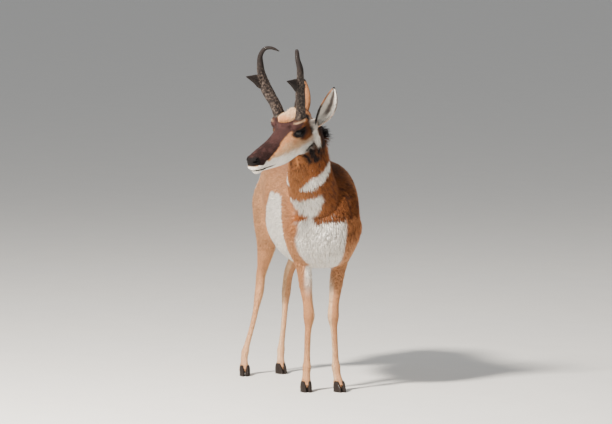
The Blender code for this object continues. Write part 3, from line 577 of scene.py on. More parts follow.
# A coarser grid needs fewer rounds, by the square of its size
grain = (FINE_VOXEL / SKIN_VOXEL) ** 2
ALL_OVER, DEEP_BODY = max(2, round(6 * grain)), round(24 * grain)
points, _, edges, _ = read(skin)
head, _, leg, _ = shares(points)
points = relaxed(points, edges, 0.5 - 0.25 * leg, ALL_OVER)
points = relaxed(points, edges, 0.5 * (1 - head) * (1 - leg), DEEP_BODY)
points, normals, _, tris = moved(skin, points)
moved(skin, points - normals * coat_depth(points)[:, None])

# Faces may grow large on the body, less so on the legs, and stay small on the head
LEVELS = 10
coarse = (1 - head) * (0.35 + 0.65 * (1 - leg))
fineness = skin.vertex_groups.new(name="coarse")
for level in range(1, LEVELS + 1):
    chosen = np.nonzero(np.round(coarse * LEVELS) == level)[0]
    fineness.add(chosen.tolist(), level / LEVELS, "REPLACE")
thin = skin.modifiers.new("thin", "DECIMATE")
thin.ratio = min(1.0, SKIN_TRIANGLES / len(tris))
thin.vertex_group = "coarse"
thin.vertex_group_factor = 1.0
skin = applied(skin)
print("hide faces:", len(skin.data.polygons))

# %% [markdown]
# The face is cut last, so that its edges stay crisp: an almond opening in front of each eye, the
# nostrils as slanted hollows, and the line of the mouth as a narrow groove along the lips.

# %% Cut the eyes, nostrils and mouth
ON_EACH_OTHER = 0.00001
# The almond of the lids: half length, rise of the upper and lower lid, drop of the front corner
ALMOND_LENGTH, UPPER_LID, LOWER_LID, CORNER_DROP = 0.0200, 0.0125, 0.0110, 0.0025
# How far out each ring of the plug lies, and its size beside the almond
PLUG = ((0.008, 0.90), (0.019, 1.0), (0.024, 1.08), (0.045, 1.5))
# The line of the mouth, forward and up, and the blade that cuts it: how deep and how wide
MOUTH_LINE = (
    (0.112, -0.0640), (0.125, -0.0605), (0.145, -0.0560), (0.165, -0.0500),
    (0.185, -0.0460), (0.200, -0.0410), (0.209, -0.0385),
)
BLADE = ((0.0040, 0.0022), (-0.0045, 0.0005), (-0.0045, -0.0005), (0.0040, -0.0022))
# A nostril's two hollows: forward, left, up; half sizes; how far each turns outwards
NOSTRIL = (
    ((0.2050, 0.0225, -0.0040), (0.0060, 0.0100, 0.0045), 0.9),
    ((0.1960, 0.0300, 0.0030), (0.0085, 0.0065, 0.0030), 0.5),
)


def cleaned(obj):
    """Only triangles, points on each other made one, and only the surface with the most points kept."""
    mesh = bmesh.new()
    mesh.from_mesh(obj.data)
    bmesh.ops.remove_doubles(mesh, verts=mesh.verts, dist=ON_EACH_OTHER)
    bmesh.ops.dissolve_degenerate(mesh, edges=mesh.edges, dist=ON_EACH_OTHER)
    bmesh.ops.triangulate(mesh, faces=mesh.faces)
    left, islands = set(mesh.verts), []
    while left:
        stack = [left.pop()]
        island = set(stack)
        while stack:
            for edge in stack.pop().link_edges:
                for vert in edge.verts:
                    if vert in left:
                        left.discard(vert)
                        island.add(vert)
                        stack.append(vert)
        islands.append(island)
    islands.sort(key=len)
    for island in islands[:-1]:
        bmesh.ops.delete(mesh, geom=list(island), context="VERTS")
    mesh.to_mesh(obj.data)
    mesh.free()
    return obj


def cut(host, cutter):
    """Takes one closed mesh away from another."""
    away = host.modifiers.new("cut", "BOOLEAN")
    away.operation, away.solver, away.object = "DIFFERENCE", "MANIFOLD", cutter
    made = applied(host)
    bpy.data.objects.remove(cutter, do_unlink=True)
    return made


def eye_frame(s):
    """An eye's middle, and the ways it looks out, ahead and up; s is 1 on the left and -1 on the right."""
    outward = unit(LEFT * (0.95 * s) + FORWARD * 0.30 + UP * 0.02)
    ahead = unit(FORWARD - outward * (FORWARD @ outward))
    above = unit(np.cross(outward, ahead)) * s
    return on_head((EYE_AT[0], s * EYE_AT[1], EYE_AT[2])), outward, ahead, above


def almond(turns, size=1.0):
    """The lids' line as seen from outside: cos ahead, sin up, pinched towards both corners."""
    lift = np.where(np.sin(turns) > 0, UPPER_LID, LOWER_LID)
    pinched = lift * np.sin(turns) * (1 - 0.25 * np.abs(np.cos(turns)))
    return size * (ALMOND_LENGTH * np.cos(turns)), size * (pinched - CORNER_DROP * np.cos(turns))


def eye_plug(s):
    """A flared plug through the almond, from inside the eyeball outwards."""
    centre, outward, ahead, above = eye_frame(s)
    turns = np.arange(48) * 2 * math.pi / 48
    made = []
    for reach, size in PLUG:
        a, b = almond(turns, size)
        made.append(centre + outward * reach + a[:, None] * ahead + b[:, None] * above)
    return np.array(made)


def mouth_blade(s, host):
    """A thin blade whose edge follows the lips' line, found by rays from the side."""
    points, _, _, tris = read(host)
    tree = BVHTree.FromPolygons(points.tolist(), tris.tolist())
    hits = []
    for forward, up in smooth_rows(MOUTH_LINE, 4):
        start = on_head((forward, s * 0.12, up))
        hit, normal, _, _ = tree.ray_cast(Vector(start), Vector(-s * LEFT))
        hits.append((np.array(hit), np.array(normal)))
    place = np.array([hit for hit, _ in hits])
    out = np.array([normal for _, normal in hits])
    across = unit(np.cross(np.gradient(place, axis=0), out))
    return np.stack([place + out * deep + across * wide for deep, wide in BLADE], 1)


def nostril_hollow(s, place, sizes, slant):
    """A ball on the head's axes, turned outwards by its slant in radians."""
    forward, left, up = place
    ahead = unit(FORWARD * math.cos(slant) + LEFT * (s * math.sin(slant)))
    return ellipsoid(on_head((forward, s * left, up)), (ahead, np.cross(UP, ahead), UP), sizes, 24)


skin = cleaned(skin)
for s in (1, -1):
    skin = cut(skin, closed("plug", eye_plug(s)))
    skin = cut(skin, closed("blade", mouth_blade(s, skin)))
    for hollow in NOSTRIL:
        skin = cut(skin, closed("hollow", nostril_hollow(s, *hollow)))
skin = cleaned(skin)
print("hide triangles:", len(skin.data.polygons))

# %% [markdown]
# Markings. A pronghorn's pattern is its signature: a black mask from the nose to the horns, white
# cheeks, a black patch under the ear, white bands over a russet throat, a sharp-edged white flank and
# a white rump. Each mark is a formula in the animal's own measures: forward, left and up on the head,
# the height and turn round the neck, and plain places on the body. Painted shade is laid in with them:
# low on the neck, on the left, shaded side of the neck, shoulder and chest, and in the nostrils. The
# hide and every tuft of the coat take their colour from this one function, so both carry the same marks
# and shade.

# %% Colours and the edges of marks
TAN = np.array((0.520, 0.250, 0.118))
SAND = np.array((0.560, 0.300, 0.155))
RUSSET = np.array((0.300, 0.098, 0.028))
BROWN = np.array((0.110, 0.042, 0.022))
DARK = np.array((0.050, 0.022, 0.020))
BLACK = np.array((0.007, 0.005, 0.005))
WHITE = np.array((0.860, 0.810, 0.740))
CREAM = np.array((0.640, 0.420, 0.250))
ORANGE = np.array((0.500, 0.205, 0.078))

# The lower edge of the black mask: how far up it lies at each place along the muzzle
MASK_FORWARD = (-0.05, -0.02, 0.0, 0.011, 0.029, 0.046, 0.072, 0.092, 0.111, 0.14, 0.175, 0.19, 0.212)
MASK_UP = (0.048, 0.038, 0.028, 0.023, 0.021, 0.018, 0.007, -0.004, -0.013, -0.021, -0.029, -0.026, -0.014)
# The upper edge of the white along the jaw, in the same way
JAW_FORWARD = (-0.060, -0.015, 0.013, 0.050, 0.090, 0.130, 0.200)
JAW_UP = (-0.056, -0.058, -0.060, -0.048, -0.038, -0.030, -0.022)
# Points compared with the neck's axis at one time
BATCH = 20000


def painted(colour, over, share):
    """A colour laid over others by a share from 0 to 1 at each point."""
    return colour + (over - colour) * share[:, None]


def layered(colour, *layers):
    """Each next colour laid over the last by its own share at each point."""
    for over, share in layers:
        colour = painted(colour, over, share)
    return colour


def blob(a, b, middle, sizes, soft=0.25):
    """1 inside an oval of two coordinates and 0 outside it, with a soft edge."""
    reach = np.hypot((a - middle[0]) / sizes[0], (b - middle[1]) / sizes[1])
    return 1 - step(reach, 1 - soft, 1 + soft)


def round_neck(points):
    """Each point's share of the way up the neck, and its turn round it in degrees, 0 at the throat."""
    near = np.empty(len(points), int)
    for start in range(0, len(points), BATCH):
        part = points[start : start + BATCH, None] - neck_axis[None]
        near[start : start + BATCH] = (part**2).sum(-1).argmin(1)
    off = points - neck_axis[near]
    turn = np.arctan2((off * neck_side[near]).sum(1), -(off * neck_nape[near]).sum(1))
    return near / (len(neck_axis) - 1), np.degrees(turn)


def lips_at(forward):
    """How far up the line of the mouth lies at each place along the muzzle."""
    return np.interp(forward, *np.array(MOUTH_LINE).T)


def face_marks(points):
    """The head: its jaw white, its cheek warm, its muzzle and brow dark, by forward, left and up."""
    forward, left, up = head_places(points).T
    wide = np.abs(left)
    wave = 0.0035 * noise(points, 0.012, 3)
    edge = np.interp(forward, MASK_FORWARD, MASK_UP) + wave
    # From the white of the jaw up to the mask: white, cream, then orange
    jaw_top = np.interp(forward, JAW_FORWARD, JAW_UP) + 2 * wave
    blend = (up - jaw_top) / np.maximum(edge - jaw_top, 0.008)
    warm = step(blend + 0.25 * noise(points, 0.007, 13), 0.25, 0.95)
    snout = step(up, edge + 0.004, edge + 0.016) * step(forward, 0.03, 0.08)
    mask = layered(
        DARK * 1.15,
        (DARK * 0.5, step(forward, 0.05, 0.12)),
        (DARK * 1.4, 0.5 * snout * step(noise(points, 0.010, 5), 0.0, 0.6)),
    )
    masked = step(up, edge - 0.003, edge + 0.003) * step(forward, -0.034, -0.016)
    # Round the eye and up to the horn's foot, black at its rear edge and close to the lids
    around = blob(forward + 0.5 * wave, up + wave, (-0.044, 0.004), (0.048, 0.042), 0.14)
    patch = layered(
        RUSSET * 0.75,
        (DARK, blob(forward, up, (-0.014, 0.004), (0.040, 0.024), 0.4)),
        (BLACK * 2, step(-forward, 0.056, 0.072) * step(-up, -0.016, 0.006)),
    )
    close = blob(forward, up, (-0.008, 0.012), (0.033, 0.018), 0.2) * step(wide, 0.030, 0.040)
    arc = blob(forward, up, (-0.024, 0.052), (0.026, 0.0035), 0.4) * step(wide, 0.050, 0.060)
    # Black before the ear's root, and russet again under the jaw
    before = blob(forward, up, (-0.072, 0.036), (0.016, 0.014), 0.3) * step(wide, 0.024, 0.034)
    throat = step(-up - 0.4 * np.clip(forward, 0, 1), 0.080, 0.092) * step(-forward, -0.055, -0.020)
    under = painted(ORANGE, BROWN, step(noise(points, 0.007, 16), 0.1, 0.6))
    # Dark behind the crown, the pale crown itself and a dark collar at the horn's foot
    back = step(-forward, 0.085, 0.105) * step(0.034 - wide, 0, 0.012)
    crown = blob(forward, left, (-0.040, 0.0), (0.036, 0.036), 0.15) * step(up, 0.030, 0.045)
    collar = blob(forward, wide, (-0.034, 0.0595), (0.030, 0.024), 0.15) * step(up, 0.050, 0.060)
    # The bare nose, darker still in the nostrils as painted shade in their hollows, and the line of the
    # mouth
    nose = step(forward, 0.186, 0.194) * step(up, -0.024, -0.017) * step(-up, -0.016, -0.008)
    hollow = blob(forward, up, (0.200, 0.0), (0.012, 0.009), 0.2) * step(wide, 0.012, 0.018)
    line = (1 - step(np.abs(up - lips_at(forward)), 0.0020, 0.0040)) * step(forward, 0.110, 0.140)
    return layered(
        WHITE,
        (CREAM, step(blend, -0.15, 0.30)),
        (ORANGE * 1.15, 0.85 * warm),
        (mask, masked),
        (patch, around * step(wide, 0.022, 0.034)),
        (BLACK, close),
        (CREAM, 0.8 * arc),
        (BLACK * 3, before),
        (under, throat),
        (BROWN, back),
        (CREAM * 1.05, crown),
        (BROWN * 0.7, collar),
        (BLACK, nose),
        (BLACK * 0.6, hollow),
        (BLACK, line),
    )


def behind_marks(points, colour):
    """The marks at the jaw's angle and below the ear, which run over from the head to the neck."""
    forward, left, up = head_places(points).T
    wide = np.abs(left)
    wave = 0.006 * noise(points, 0.010, 14)
    side = step(wide, 0.010, 0.026) * step(forward, -0.140, -0.120) * step(up, -0.160, -0.140)
    jaw = blob(forward, up + 0.5 * wave, (-0.060, -0.094), (0.056, 0.036), 0.22)
    broken = 0.55 + 0.45 * step(noise(points, 0.011, 15), -0.45, 0.1)
    outer = step(wide, 0.020, 0.032)
    below = blob(forward + wave, up, (-0.088, -0.048), (0.018, 0.033), 0.25) * outer
    ear_root = blob(forward, up, (-0.092, 0.002), (0.018, 0.028), 0.3) * step(wide, 0.034, 0.044)
    stripe_forward, stripe_up = forward - 0.3 * (up + 0.057), up - 0.06 * (forward + 0.03)
    stripe = blob(stripe_forward, stripe_up, (-0.026, -0.057), (0.036, 0.0075), 0.3)
    nape = step(-forward, 0.100, 0.112) * step(up, -0.110, -0.090) * step(-up, -0.04, 0.0)
    return layered(
        colour,
        (BLACK * 2.2, jaw * broken * side),
        (WHITE, below * side),
        (WHITE * 0.90, 0.75 * ear_root),
        (WHITE * 0.95, stripe * outer),
        (BLACK * 3, 0.9 * nape),
    )


def neck_marks(points):
    """The neck: russet with dark specks, brown up its nape, two white bands across its throat."""
    x, _, z = (points - STAND).T
    rise, turn = round_neck(points)
    wave = 0.010 * noise(points, 0.020, 4)
    # Painted shade low on both sides of the neck: darker tan on the right, dark russet on the left.
    shaded_neck_base = painted(TAN * 0.72, RUSSET * 0.80, step(turn, -10, 40))
    low = step(np.abs(turn + 5), 60, 105) * (1 - step(rise, 0.50, 0.66))
    # Dark specks all over, and painted shade on the left, shaded side: a brown wash and more specks.
    speck = step(noise(points, 0.007, 16) + 0.5 * noise(points, 0.020, 6), 0.00, 0.60)
    speck = 0.22 * step(turn, 0, 60) + 0.72 * speck * (0.40 + 0.60 * step(turn, -10, 50))
    # The upper white band, a crescent on each side that runs out to a point near the throat
    out = np.abs(turn + 32)
    middle = 0.352 + 0.0011 * out
    half = 0.034 * step(out, 10, 48) * step(-out, -150, -112)
    band = step(half - np.abs(rise - middle + wave * 0.6), -0.006, 0.006) * (half > 0.002)
    # The lower white band widens into the chest on the right side, a russet patch on each side
    top = 0.292 + 0.0004 * (turn + 50)
    wedge = step(top - rise + wave * 0.6, -0.006, 0.008)
    wedge = wedge * step(-0.030 - 0.57 * (0.76 - z) - x + wave, -0.006, 0.006)
    wedge = wedge * step(np.abs(turn + 5), 105, 85) * (1 - step(turn + 300 * wave, 16, 26))
    return layered(
        ORANGE * 0.84,
        # Russet towards both sides, reaching further round on the left as painted shade.
        (RUSSET, step(turn, -25, 45)),
        (RUSSET, step(-turn, 55, 80)),
        (shaded_neck_base, low),
        (BROWN * 0.8, speck),
        (BROWN, step(np.abs(turn), 105, 150)),
        (WHITE, band),
        (WHITE, wedge),
    )


def trunk_marks(points):
    """The trunk: tan, darker on the back and shoulder, white on the flank, belly, chest and rump."""
    x, y, z = (points - STAND).T
    wave = 0.010 * noise(points, 0.030, 8) + 0.004 * noise(points, 0.010, 9)
    back = step(z, 0.780, 0.870) * (1 - 0.55 * step(y, 0.10, 0.40))
    shoulder = step(-y, 0.16, 0.30) * step(z, 0.56, 0.62)
    # Painted shade on the left, shaded side: the shoulder there browner over its real russet and mottling.
    shaded_left = step(x, -0.02, 0.05)
    speck = step(noise(points, 0.007, 16) + 0.5 * noise(points, 0.022, 17), 0.10, 0.70)
    # The white flank has a level upper edge, and slants down behind to the belly
    lower = 0.742 - 0.17 * step(y, -0.01, 0.13) - 0.70 * step(-y, 0.165, 0.20) - 0.60 * step(y, 0.17, 0.23)
    belly = step(0.520 - z + wave, -0.006, 0.010) * step(-y, -0.20, 0.0)
    belly = belly * (1 - step(np.abs(x + 0.01), 0.046, 0.060) * step(-y, 0.13, 0.17))
    groin = blob(y, z, (0.20, 0.56), (0.09, 0.05), 0.3) * (1 - step(np.abs(x - 0.02), 0.05, 0.08))
    # The chest: white below, the big russet patch on its left, mottled and darkened with painted shade,
    # and a small one on its right
    front = step(-y, 0.285, 0.315)
    middle = np.abs(x + 0.033 + 0.3 * wave)
    big = step(z - 0.662 + wave - 0.25 * np.clip(x - 0.01, 0, 1), -0.005, 0.005)
    big = big * step(x + np.minimum(0.030 + 0.57 * (0.76 - z), 0.070) - wave, -0.006, 0.006)
    shaded_mottle = painted(RUSSET * 0.72, BROWN * 0.6, 0.30 + 0.68 * speck)
    small = blob(x - 0.4 * (z - 0.672) + wave, z + wave, (-0.113, 0.682), (0.019, 0.018), 0.2)
    # The white rump round the tail
    from_tail = np.hypot(x - 0.022, (z - 0.73) * 0.9)
    rump = step(y, 0.352, 0.366) * step(z, 0.57, 0.60) * (1 - step(from_tail, 0.098, 0.108))
    return layered(
        TAN,
        (SAND, step(y, 0.05, 0.30) * 0.6),
        (BROWN * 1.9, 0.75 * back),
        (RUSSET * 1.3, (0.45 + 0.15 * shaded_left) * shoulder),
        (BROWN * 0.7, (0.15 + 0.85 * speck) * (0.12 + 0.75 * shaded_left) * shoulder),
        (WHITE, step(lower - z + wave, -0.005, 0.005)),
        (WHITE, belly),
        (WHITE, groin),
        (WHITE, front * (1 - step(middle, 0.076, 0.090)) * (z < 0.76)),
        (shaded_mottle, front * big),
        (RUSSET * 1.25, front * small),
        (WHITE * 1.03, step(rump, 0.2, 0.8)),
    )


def leg_marks(points):
    """The legs: tan outside, cream on the sides that face each other, a darker cuff at the hoof."""
    _, y, z = (points - STAND).T
    inside = np.zeros(len(points))
    for name in LEGS:
        centre, _ = leg_line(name, np.clip(z, 0.026, 0.80))
        off = points - centre
        near = np.hypot(off[:, 0], off[:, 1]) < 0.075
        out = 1 if name.endswith("left") else -1
        turn = -off[:, 0] * out + 0.35 * off[:, 1]
        reach = 0.004 if name.startswith("front") else 0.002
        faces_in = step(turn + 0.002 * noise(points, 0.012, 12), reach - 0.002, reach + 0.004)
        inside = np.where(near, faces_in, inside)
    pale = 0.22 * step(-z, -0.24, -0.12) + 0.2 * (y > 0.1) * step(-z, -0.45, -0.33)
    cuff = step(-z, -0.055, -0.035)
    return layered(TAN * 1.02, (CREAM * 1.12, inside), (CREAM * 1.08, pale), (TAN * 0.80, 0.6 * cuff))


def markings_and_shade(points):
    """The base colour of the animal at each point, with its painted shade."""
    head, neck, leg, tail = shares(points)
    colour = layered(
        trunk_marks(points),
        (neck_marks(points), step(neck, 0.1, 0.6)),
        (leg_marks(points), leg),
        (face_marks(points), head),
    )
    colour = painted(behind_marks(points, colour), WHITE, tail)
    fine = 1 + 0.10 * noise(points, 0.006, 20) + 0.08 * noise(points, 0.035, 21)
    return np.clip(colour * fine[:, None], 0.002, 0.90)


def tint(obj, colours):
    """Stores a colour for each point of a mesh, which the materials read by its name."""
    layer = obj.data.color_attributes.new("marking", "FLOAT_COLOR", "POINT")
    rgba = np.hstack([colours, np.ones((len(colours), 1))])
    layer.data.foreach_set("color", rgba.astype(np.float32).ravel())


points = read(skin)[0]
tint(skin, markings_and_shade(points))
print("hide colours:", len(points))

# %% [markdown]
# Finishes. All hair shares one: the marking's colour, broken by a fine grain, rough and with a faint
# sheen. The grain is a node group, because the hide, the horns and the hooves use it too at other
# scales. A number that is the same all over a surface is set on the shader itself.

# %% Materials
def group_of(name, inputs, outputs):
    """An empty shader node group with named sockets, and its input and output nodes."""
    made = bpy.data.node_groups.new(name, "ShaderNodeTree")
    for label, kind, value in inputs:
        socket = made.interface.new_socket(label, in_out="INPUT", socket_type=kind)
        socket.default_value = value
    for label, kind in outputs:
        made.interface.new_socket(label, in_out="OUTPUT", socket_type=kind)
    return made, made.nodes.new("NodeGroupInput"), made.nodes.new("NodeGroupOutput")


def build_grain():
    """A colour made darker and lighter by two sizes of noise, and the noise as a height."""
    inputs = (
        ("Color", "NodeSocketColor", (0.5, 0.5, 0.5, 1)),
        ("Scale", "NodeSocketFloat", 300.0),
        ("Amount", "NodeSocketFloat", 0.3),
    )
    outputs = (("Color", "NodeSocketColor"), ("Height", "NodeSocketFloat"), ("Roughness", "NodeSocketFloat"))
    made, start, end = group_of("hair_grain", inputs, outputs)
    place, fine, spread, strength, shade, rough = (
        made.nodes.new("ShaderNode" + kind)
        for kind in ("TexCoord", "TexNoise", "MapRange", "Math", "VectorMath", "MapRange")
    )
    preset(fine, {"Detail": 4.0})
    preset(spread, {"From Min": 0.25, "From Max": 0.75, "To Min": -0.5, "To Max": 0.5})
    preset(rough, {"To Min": 0.55, "To Max": 0.85})
    strength.operation, shade.operation = "MULTIPLY_ADD", "SCALE"
    strength.inputs[2].default_value = 1.0
    for source, output, target, socket in (
        (place, "Object", fine, "Vector"),
        (start, "Scale", fine, "Scale"),
        (fine, "Fac", spread, "Value"),
        (spread, "Result", strength, 0),
        (start, "Amount", strength, 1),
        (start, "Color", shade, 0),
        (strength, 0, shade, "Scale"),
        (shade, 0, end, "Color"),
        (fine, "Fac", end, "Height"),
        (fine, "Fac", rough, "Value"),
        (rough, "Result", end, "Roughness"),
    ):
        made.links.new(source.outputs[output], target.inputs[socket])
    return made


grain_group = build_grain()


def new_finish(name):
    """A material with its nodes, the function that links them, and its shader."""
    made = bpy.data.materials.new(name)
    made.use_nodes = True
    nodes = made.node_tree.nodes
    return made, nodes, made.node_tree.links.new, nodes["Principled BSDF"]


def finish_with_grain(
    name, scale, amount, bump=0.0, colour=None, gloss=None, sheen=0.0, coat=0.0, gleam=0.08
):
    """A shader fed by the grain group, from one colour or from the mesh's own marking colour."""
    made, nodes, link, shader = new_finish(name)
    grain = nodes.new("ShaderNodeGroup")
    grain.node_tree = grain_group
    preset(grain, {"Scale": scale, "Amount": amount})
    if colour is None:
        source = nodes.new("ShaderNodeVertexColor")
        source.layer_name = "marking"
        link(source.outputs["Color"], grain.inputs["Color"])
    else:
        grain.inputs["Color"].default_value = (*colour, 1)
    link(grain.outputs["Color"], shader.inputs["Base Color"])
    if gloss is None:
        link(grain.outputs["Roughness"], shader.inputs["Roughness"])
    else:
        shader.inputs["Roughness"].default_value = gloss
    if bump:
        rise = nodes.new("ShaderNodeBump")
        rise.inputs["Distance"].default_value = bump
        link(grain.outputs["Height"], rise.inputs["Height"])
        link(rise.outputs["Normal"], shader.inputs["Normal"])
    preset(shader, {"Sheen Weight": sheen, "Sheen Roughness": 0.5})
    preset(shader, {"Coat Weight": coat, "Specular IOR Level": gleam})
    return made


HIDE = finish_with_grain("hide", scale=420.0, amount=0.45, bump=0.0006, sheen=0.02)
HAIR = finish_with_grain("hair", scale=700.0, amount=0.35, sheen=0.04)
HORN = finish_with_grain("horn", scale=260.0, amount=0.7, bump=0.0007, coat=0.12, gleam=0.15)
HOOF = finish_with_grain("hoof", 240.0, 0.5, 0.0003, colour=(0.020, 0.015, 0.013), coat=0.1)
LID = finish_with_grain("lid", 500.0, 0.4, 0.0002, colour=(0.006, 0.004, 0.004), gloss=0.45)
FLOOR = finish_with_grain("floor", 6.0, 0.03, colour=(0.78, 0.76, 0.72))
finished(skin, HIDE)
floor.data.materials.append(FLOOR)
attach(skin, "root")
FLESH = ["torso", "neck", "head", "tail"]
FLESH += [part + "_" + leg for part in ("leg", "cannon") for leg in LEGS]
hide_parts(*FLESH)
print("finishes:", len(bpy.data.materials))

# %% [markdown]
# The coat. Real guard hairs lie along the body like shingles, swept from the nose back to the tail
# and down the legs. Each tuft here is a thin closed wedge of hair with three sides: its root sunk in
# the hide, its back rising a little, its tip lying over the next one. Tufts are drawn at random over
# the hide's triangles, each triangle as often as its share of the area, and made as one array.

# %% Where tufts grow
rng = np.random.default_rng(20)
ANGLES = np.radians((90.0, 210.0, 330.0))
# How far a root is sunk in the hide, and the size of a tuft's patch of the unwrap
ROOT_SUNK = 0.0012
PATCH = 0.003
# The tone of a tuft at its root, its gain along the tuft, the tip's tone and how much tufts differ
ROOT_TONE, TONE_GAIN, TIP_TONE, TONE_SPREAD = 0.72, 0.34, 1.10, 0.11


def mixed(first, second, share):
    """The first times 1 - share plus the second times share, with one share a point."""
    return first * (1 - share)[:, None] + second * share[:, None]


def hair_way(points, normals):
    """The way the coat lies: back and down on the trunk, down the neck and legs, back on the face."""
    head, neck, leg, tail = shares(points)
    place = points - STAND
    low = 1 - step(place[:, 2], 0.50, 0.74)
    chest = step(-place[:, 1], 0.27, 0.35) * (1 - neck)
    near = (round_neck(points)[0] * (len(neck_axis) - 1)).astype(int)
    side = np.sign(head_places(points)[:, 1])[:, None]
    way = mixed(np.array((0.0, 1.0, -0.38)), np.array((0.0, 0.30, -1.0)), low)
    way = mixed(way, np.array((0.0, 0.10, -1.0)), chest)
    way = mixed(way, -neck_along[near], neck)
    way = mixed(way, -FORWARD + LEFT * 0.25 * side - UP * 0.12, head)
    way = mixed(way, np.array((0.0, 0.08, -1.0)), leg)
    way = mixed(way, np.array((0.0, 0.10, -1.0)), tail)
    swirl = np.stack([noise(points, 0.05, 30 + k) for k in range(3)], 1)
    way = unit(way) + 0.18 * swirl + rng.normal(0, 0.08, way.shape)
    way = way - normals * (way * normals).sum(1, keepdims=True)
    return unit(way)


def drawn(points, normals, tris, chosen, count):
    """Points and normals drawn evenly over the chosen triangles by area."""
    corners = points[tris[chosen]]
    sides = corners[:, 1:] - corners[:, :1]
    area = np.linalg.norm(np.cross(sides[:, 0], sides[:, 1]), axis=1)
    total = np.cumsum(area)
    pick = (np.arange(count) + rng.random(count)) / count * total[-1]
    face = np.minimum(np.searchsorted(total, pick), len(area) - 1)
    a, b = rng.random(count), rng.random(count)
    a, b = np.where(a + b > 1, 1 - a, a), np.where(a + b > 1, 1 - b, b)
    share = np.stack([1 - a - b, a, b], 1)[..., None]
    outward = unit((normals[tris[chosen]][face] * share).sum(1))
    return (corners[face] * share).sum(1), outward


def tufts(
    name, roots, normals, lies, lengths, widths, heights, colours, places, stops=(0.0, 0.45), droop=0.0
):
    """Closed three-sided wedges: the spine is root + lie times L t + normal times H sin(pi t / 2),

    plus a droop times t squared. Rings of three points stand round it, flat, and it ends in one tip.
    """
    count, levels = len(roots), len(stops)
    across = unit(np.cross(lies, normals))
    shape = []
    for t in stops:
        rise = heights * math.sin(t * math.pi / 2) - ROOT_SUNK * (t == 0)
        spine = roots + lies * (lengths * t)[:, None] + normals * rise[:, None] + droop * t**2
        radius = 0.5 * widths * (1 - 0.3 * t)
        for angle in ANGLES:
            ring = across * (radius * math.cos(angle))[:, None]
            shape.append(spine + ring + normals * (0.5 * radius * math.sin(angle))[:, None])
    shape.append(roots + lies * lengths[:, None] + normals * heights[:, None] + droop)
    size = 3 * levels + 1
    faces, flat = [(0, 1, 2)], [((0, 0), (0.3, 0), (0.15, 0.1))]
    for j in range(3):
        k, left, right = (j + 1) % 3, j / 3, (j + 1) / 3
        for a in range(levels - 1):
            low, high = a / levels, (a + 1) / levels
            faces += [(3 * a + k, 3 * a + j, 3 * a + 3 + j), (3 * a + k, 3 * a + 3 + j, 3 * a + 3 + k)]
            flat += [((right, low), (left, low), (left, high)), ((right, low), (left, high), (right, high))]
        a = levels - 1
        faces.append((3 * a + k, 3 * a + j, size - 1))
        flat.append(((right, a / levels), (left, a / levels), (0.5 * (left + right), 1.0)))
    points = np.stack(shape, 1)
    tris = (np.arange(count)[:, None, None] * size + np.array(faces)[None]).reshape(-1, 3)
    obj = make(name, points.reshape(-1, 3), tris=tris)
    patch = (np.array(flat, float) - 0.5) * PATCH
    uv = places[:, None, None] + patch[None]
    obj.data.uv_layers.new(name="OFBake").data.foreach_set("uv", uv.astype(np.float32).ravel())
    tone = np.append(np.repeat(ROOT_TONE + TONE_GAIN * np.array(stops), 3), TIP_TONE)
    shade = (1 + rng.normal(0, TONE_SPREAD, count))[:, None]
    tint(obj, np.clip((colours * shade)[:, None] * tone[None, :, None], 0.002, 0.9).reshape(-1, 3))
    obj.data.materials.append(HAIR)
    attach(obj, "root")
    print(name, count, "tufts,", len(tris), "triangles")
    return obj


def turned(a, b):
    """The angle of two coordinates as a share of a full turn."""
    return np.arctan2(a, b) / (2 * math.pi) + 0.5


def unwrap(points, region):
    """Where each root lies on an unwrap of the hide: one axis is the length, the other the turn."""
    x, y, z = (points - STAND).T
    if region == "head":
        forward, left, up = head_places(points).T
        uv = ((forward + 0.15) / 0.38, turned(left, -up - 0.02))
    elif region == "neck":
        rise, turn = round_neck(points)
        uv = (rise, turn / 360 + 0.5)
    elif region == "tail":
        uv = ((z - 0.68) / 0.16, turned(x - 0.023, y - 0.475))
    elif region.startswith("leg"):
        turn = np.zeros(len(points))
        index = (x > np.where(y < 0.1, 0.0, -0.03)).astype(int)
        for k, side in enumerate(("_right", "_left")):
            centre, _ = leg_line(region[4:] + side, np.clip(z, 0.026, 0.8))
            off = points - centre
            turn = np.where(index == k, turned(off[:, 0], off[:, 1]), turn)
        uv = (0.5 * (index + turn), z / 0.60)
    else:
        uv = ((y + 0.42) / 0.92, turned(x - 0.01, 0.68 - z))
    return 0.01 + 0.98 * np.clip(np.stack(uv, 1), 0, 1)


# %% Grow the coat
points, normals, edges, tris = read(skin)
middles = points[tris].mean(1)
head, neck, leg, tail = shares(middles)
x, y = (middles - STAND).T[:2]
front, legs = y < 0.02, leg > 0.5
# Each triangle belongs to the last of these regions that holds it
REGIONS = (
    ("torso_rear_left", x > 0.012),
    ("torso_front_right", front & (x <= 0.0)),
    ("torso_front_left", front & (x > 0.0)),
    ("neck", neck > 0.5),
    ("leg_front", legs & (y < 0.1)),
    ("leg_hind", legs & (y >= 0.1)),
    ("tail", tail > 0.5),
    ("head", head > 0.5),
)
region_of = np.full(len(tris), "torso_rear_right", dtype="U20")
for region, held in REGIONS:
    region_of[held] = region

# Each region's count of tufts, their length and width, and the slot of its finish
TORSO_COAT = (16000, 0.018, 0.0026, "coat")
COATS = {f"torso_{end}_{side}": TORSO_COAT for end in ("front", "rear") for side in ("left", "right")}
COATS |= {
    "neck": (17000, 0.019, 0.0024, "coat"),
    "head": (18500, 0.0100, 0.0015, "coat"),
    "leg_front": (12000, 0.0095, 0.0017, "leg_coat"),
    "leg_hind": (12000, 0.0095, 0.0017, "leg_coat"),
    "tail": (3000, 0.026, 0.0027, "tail_hair"),
}
THINNER = 1


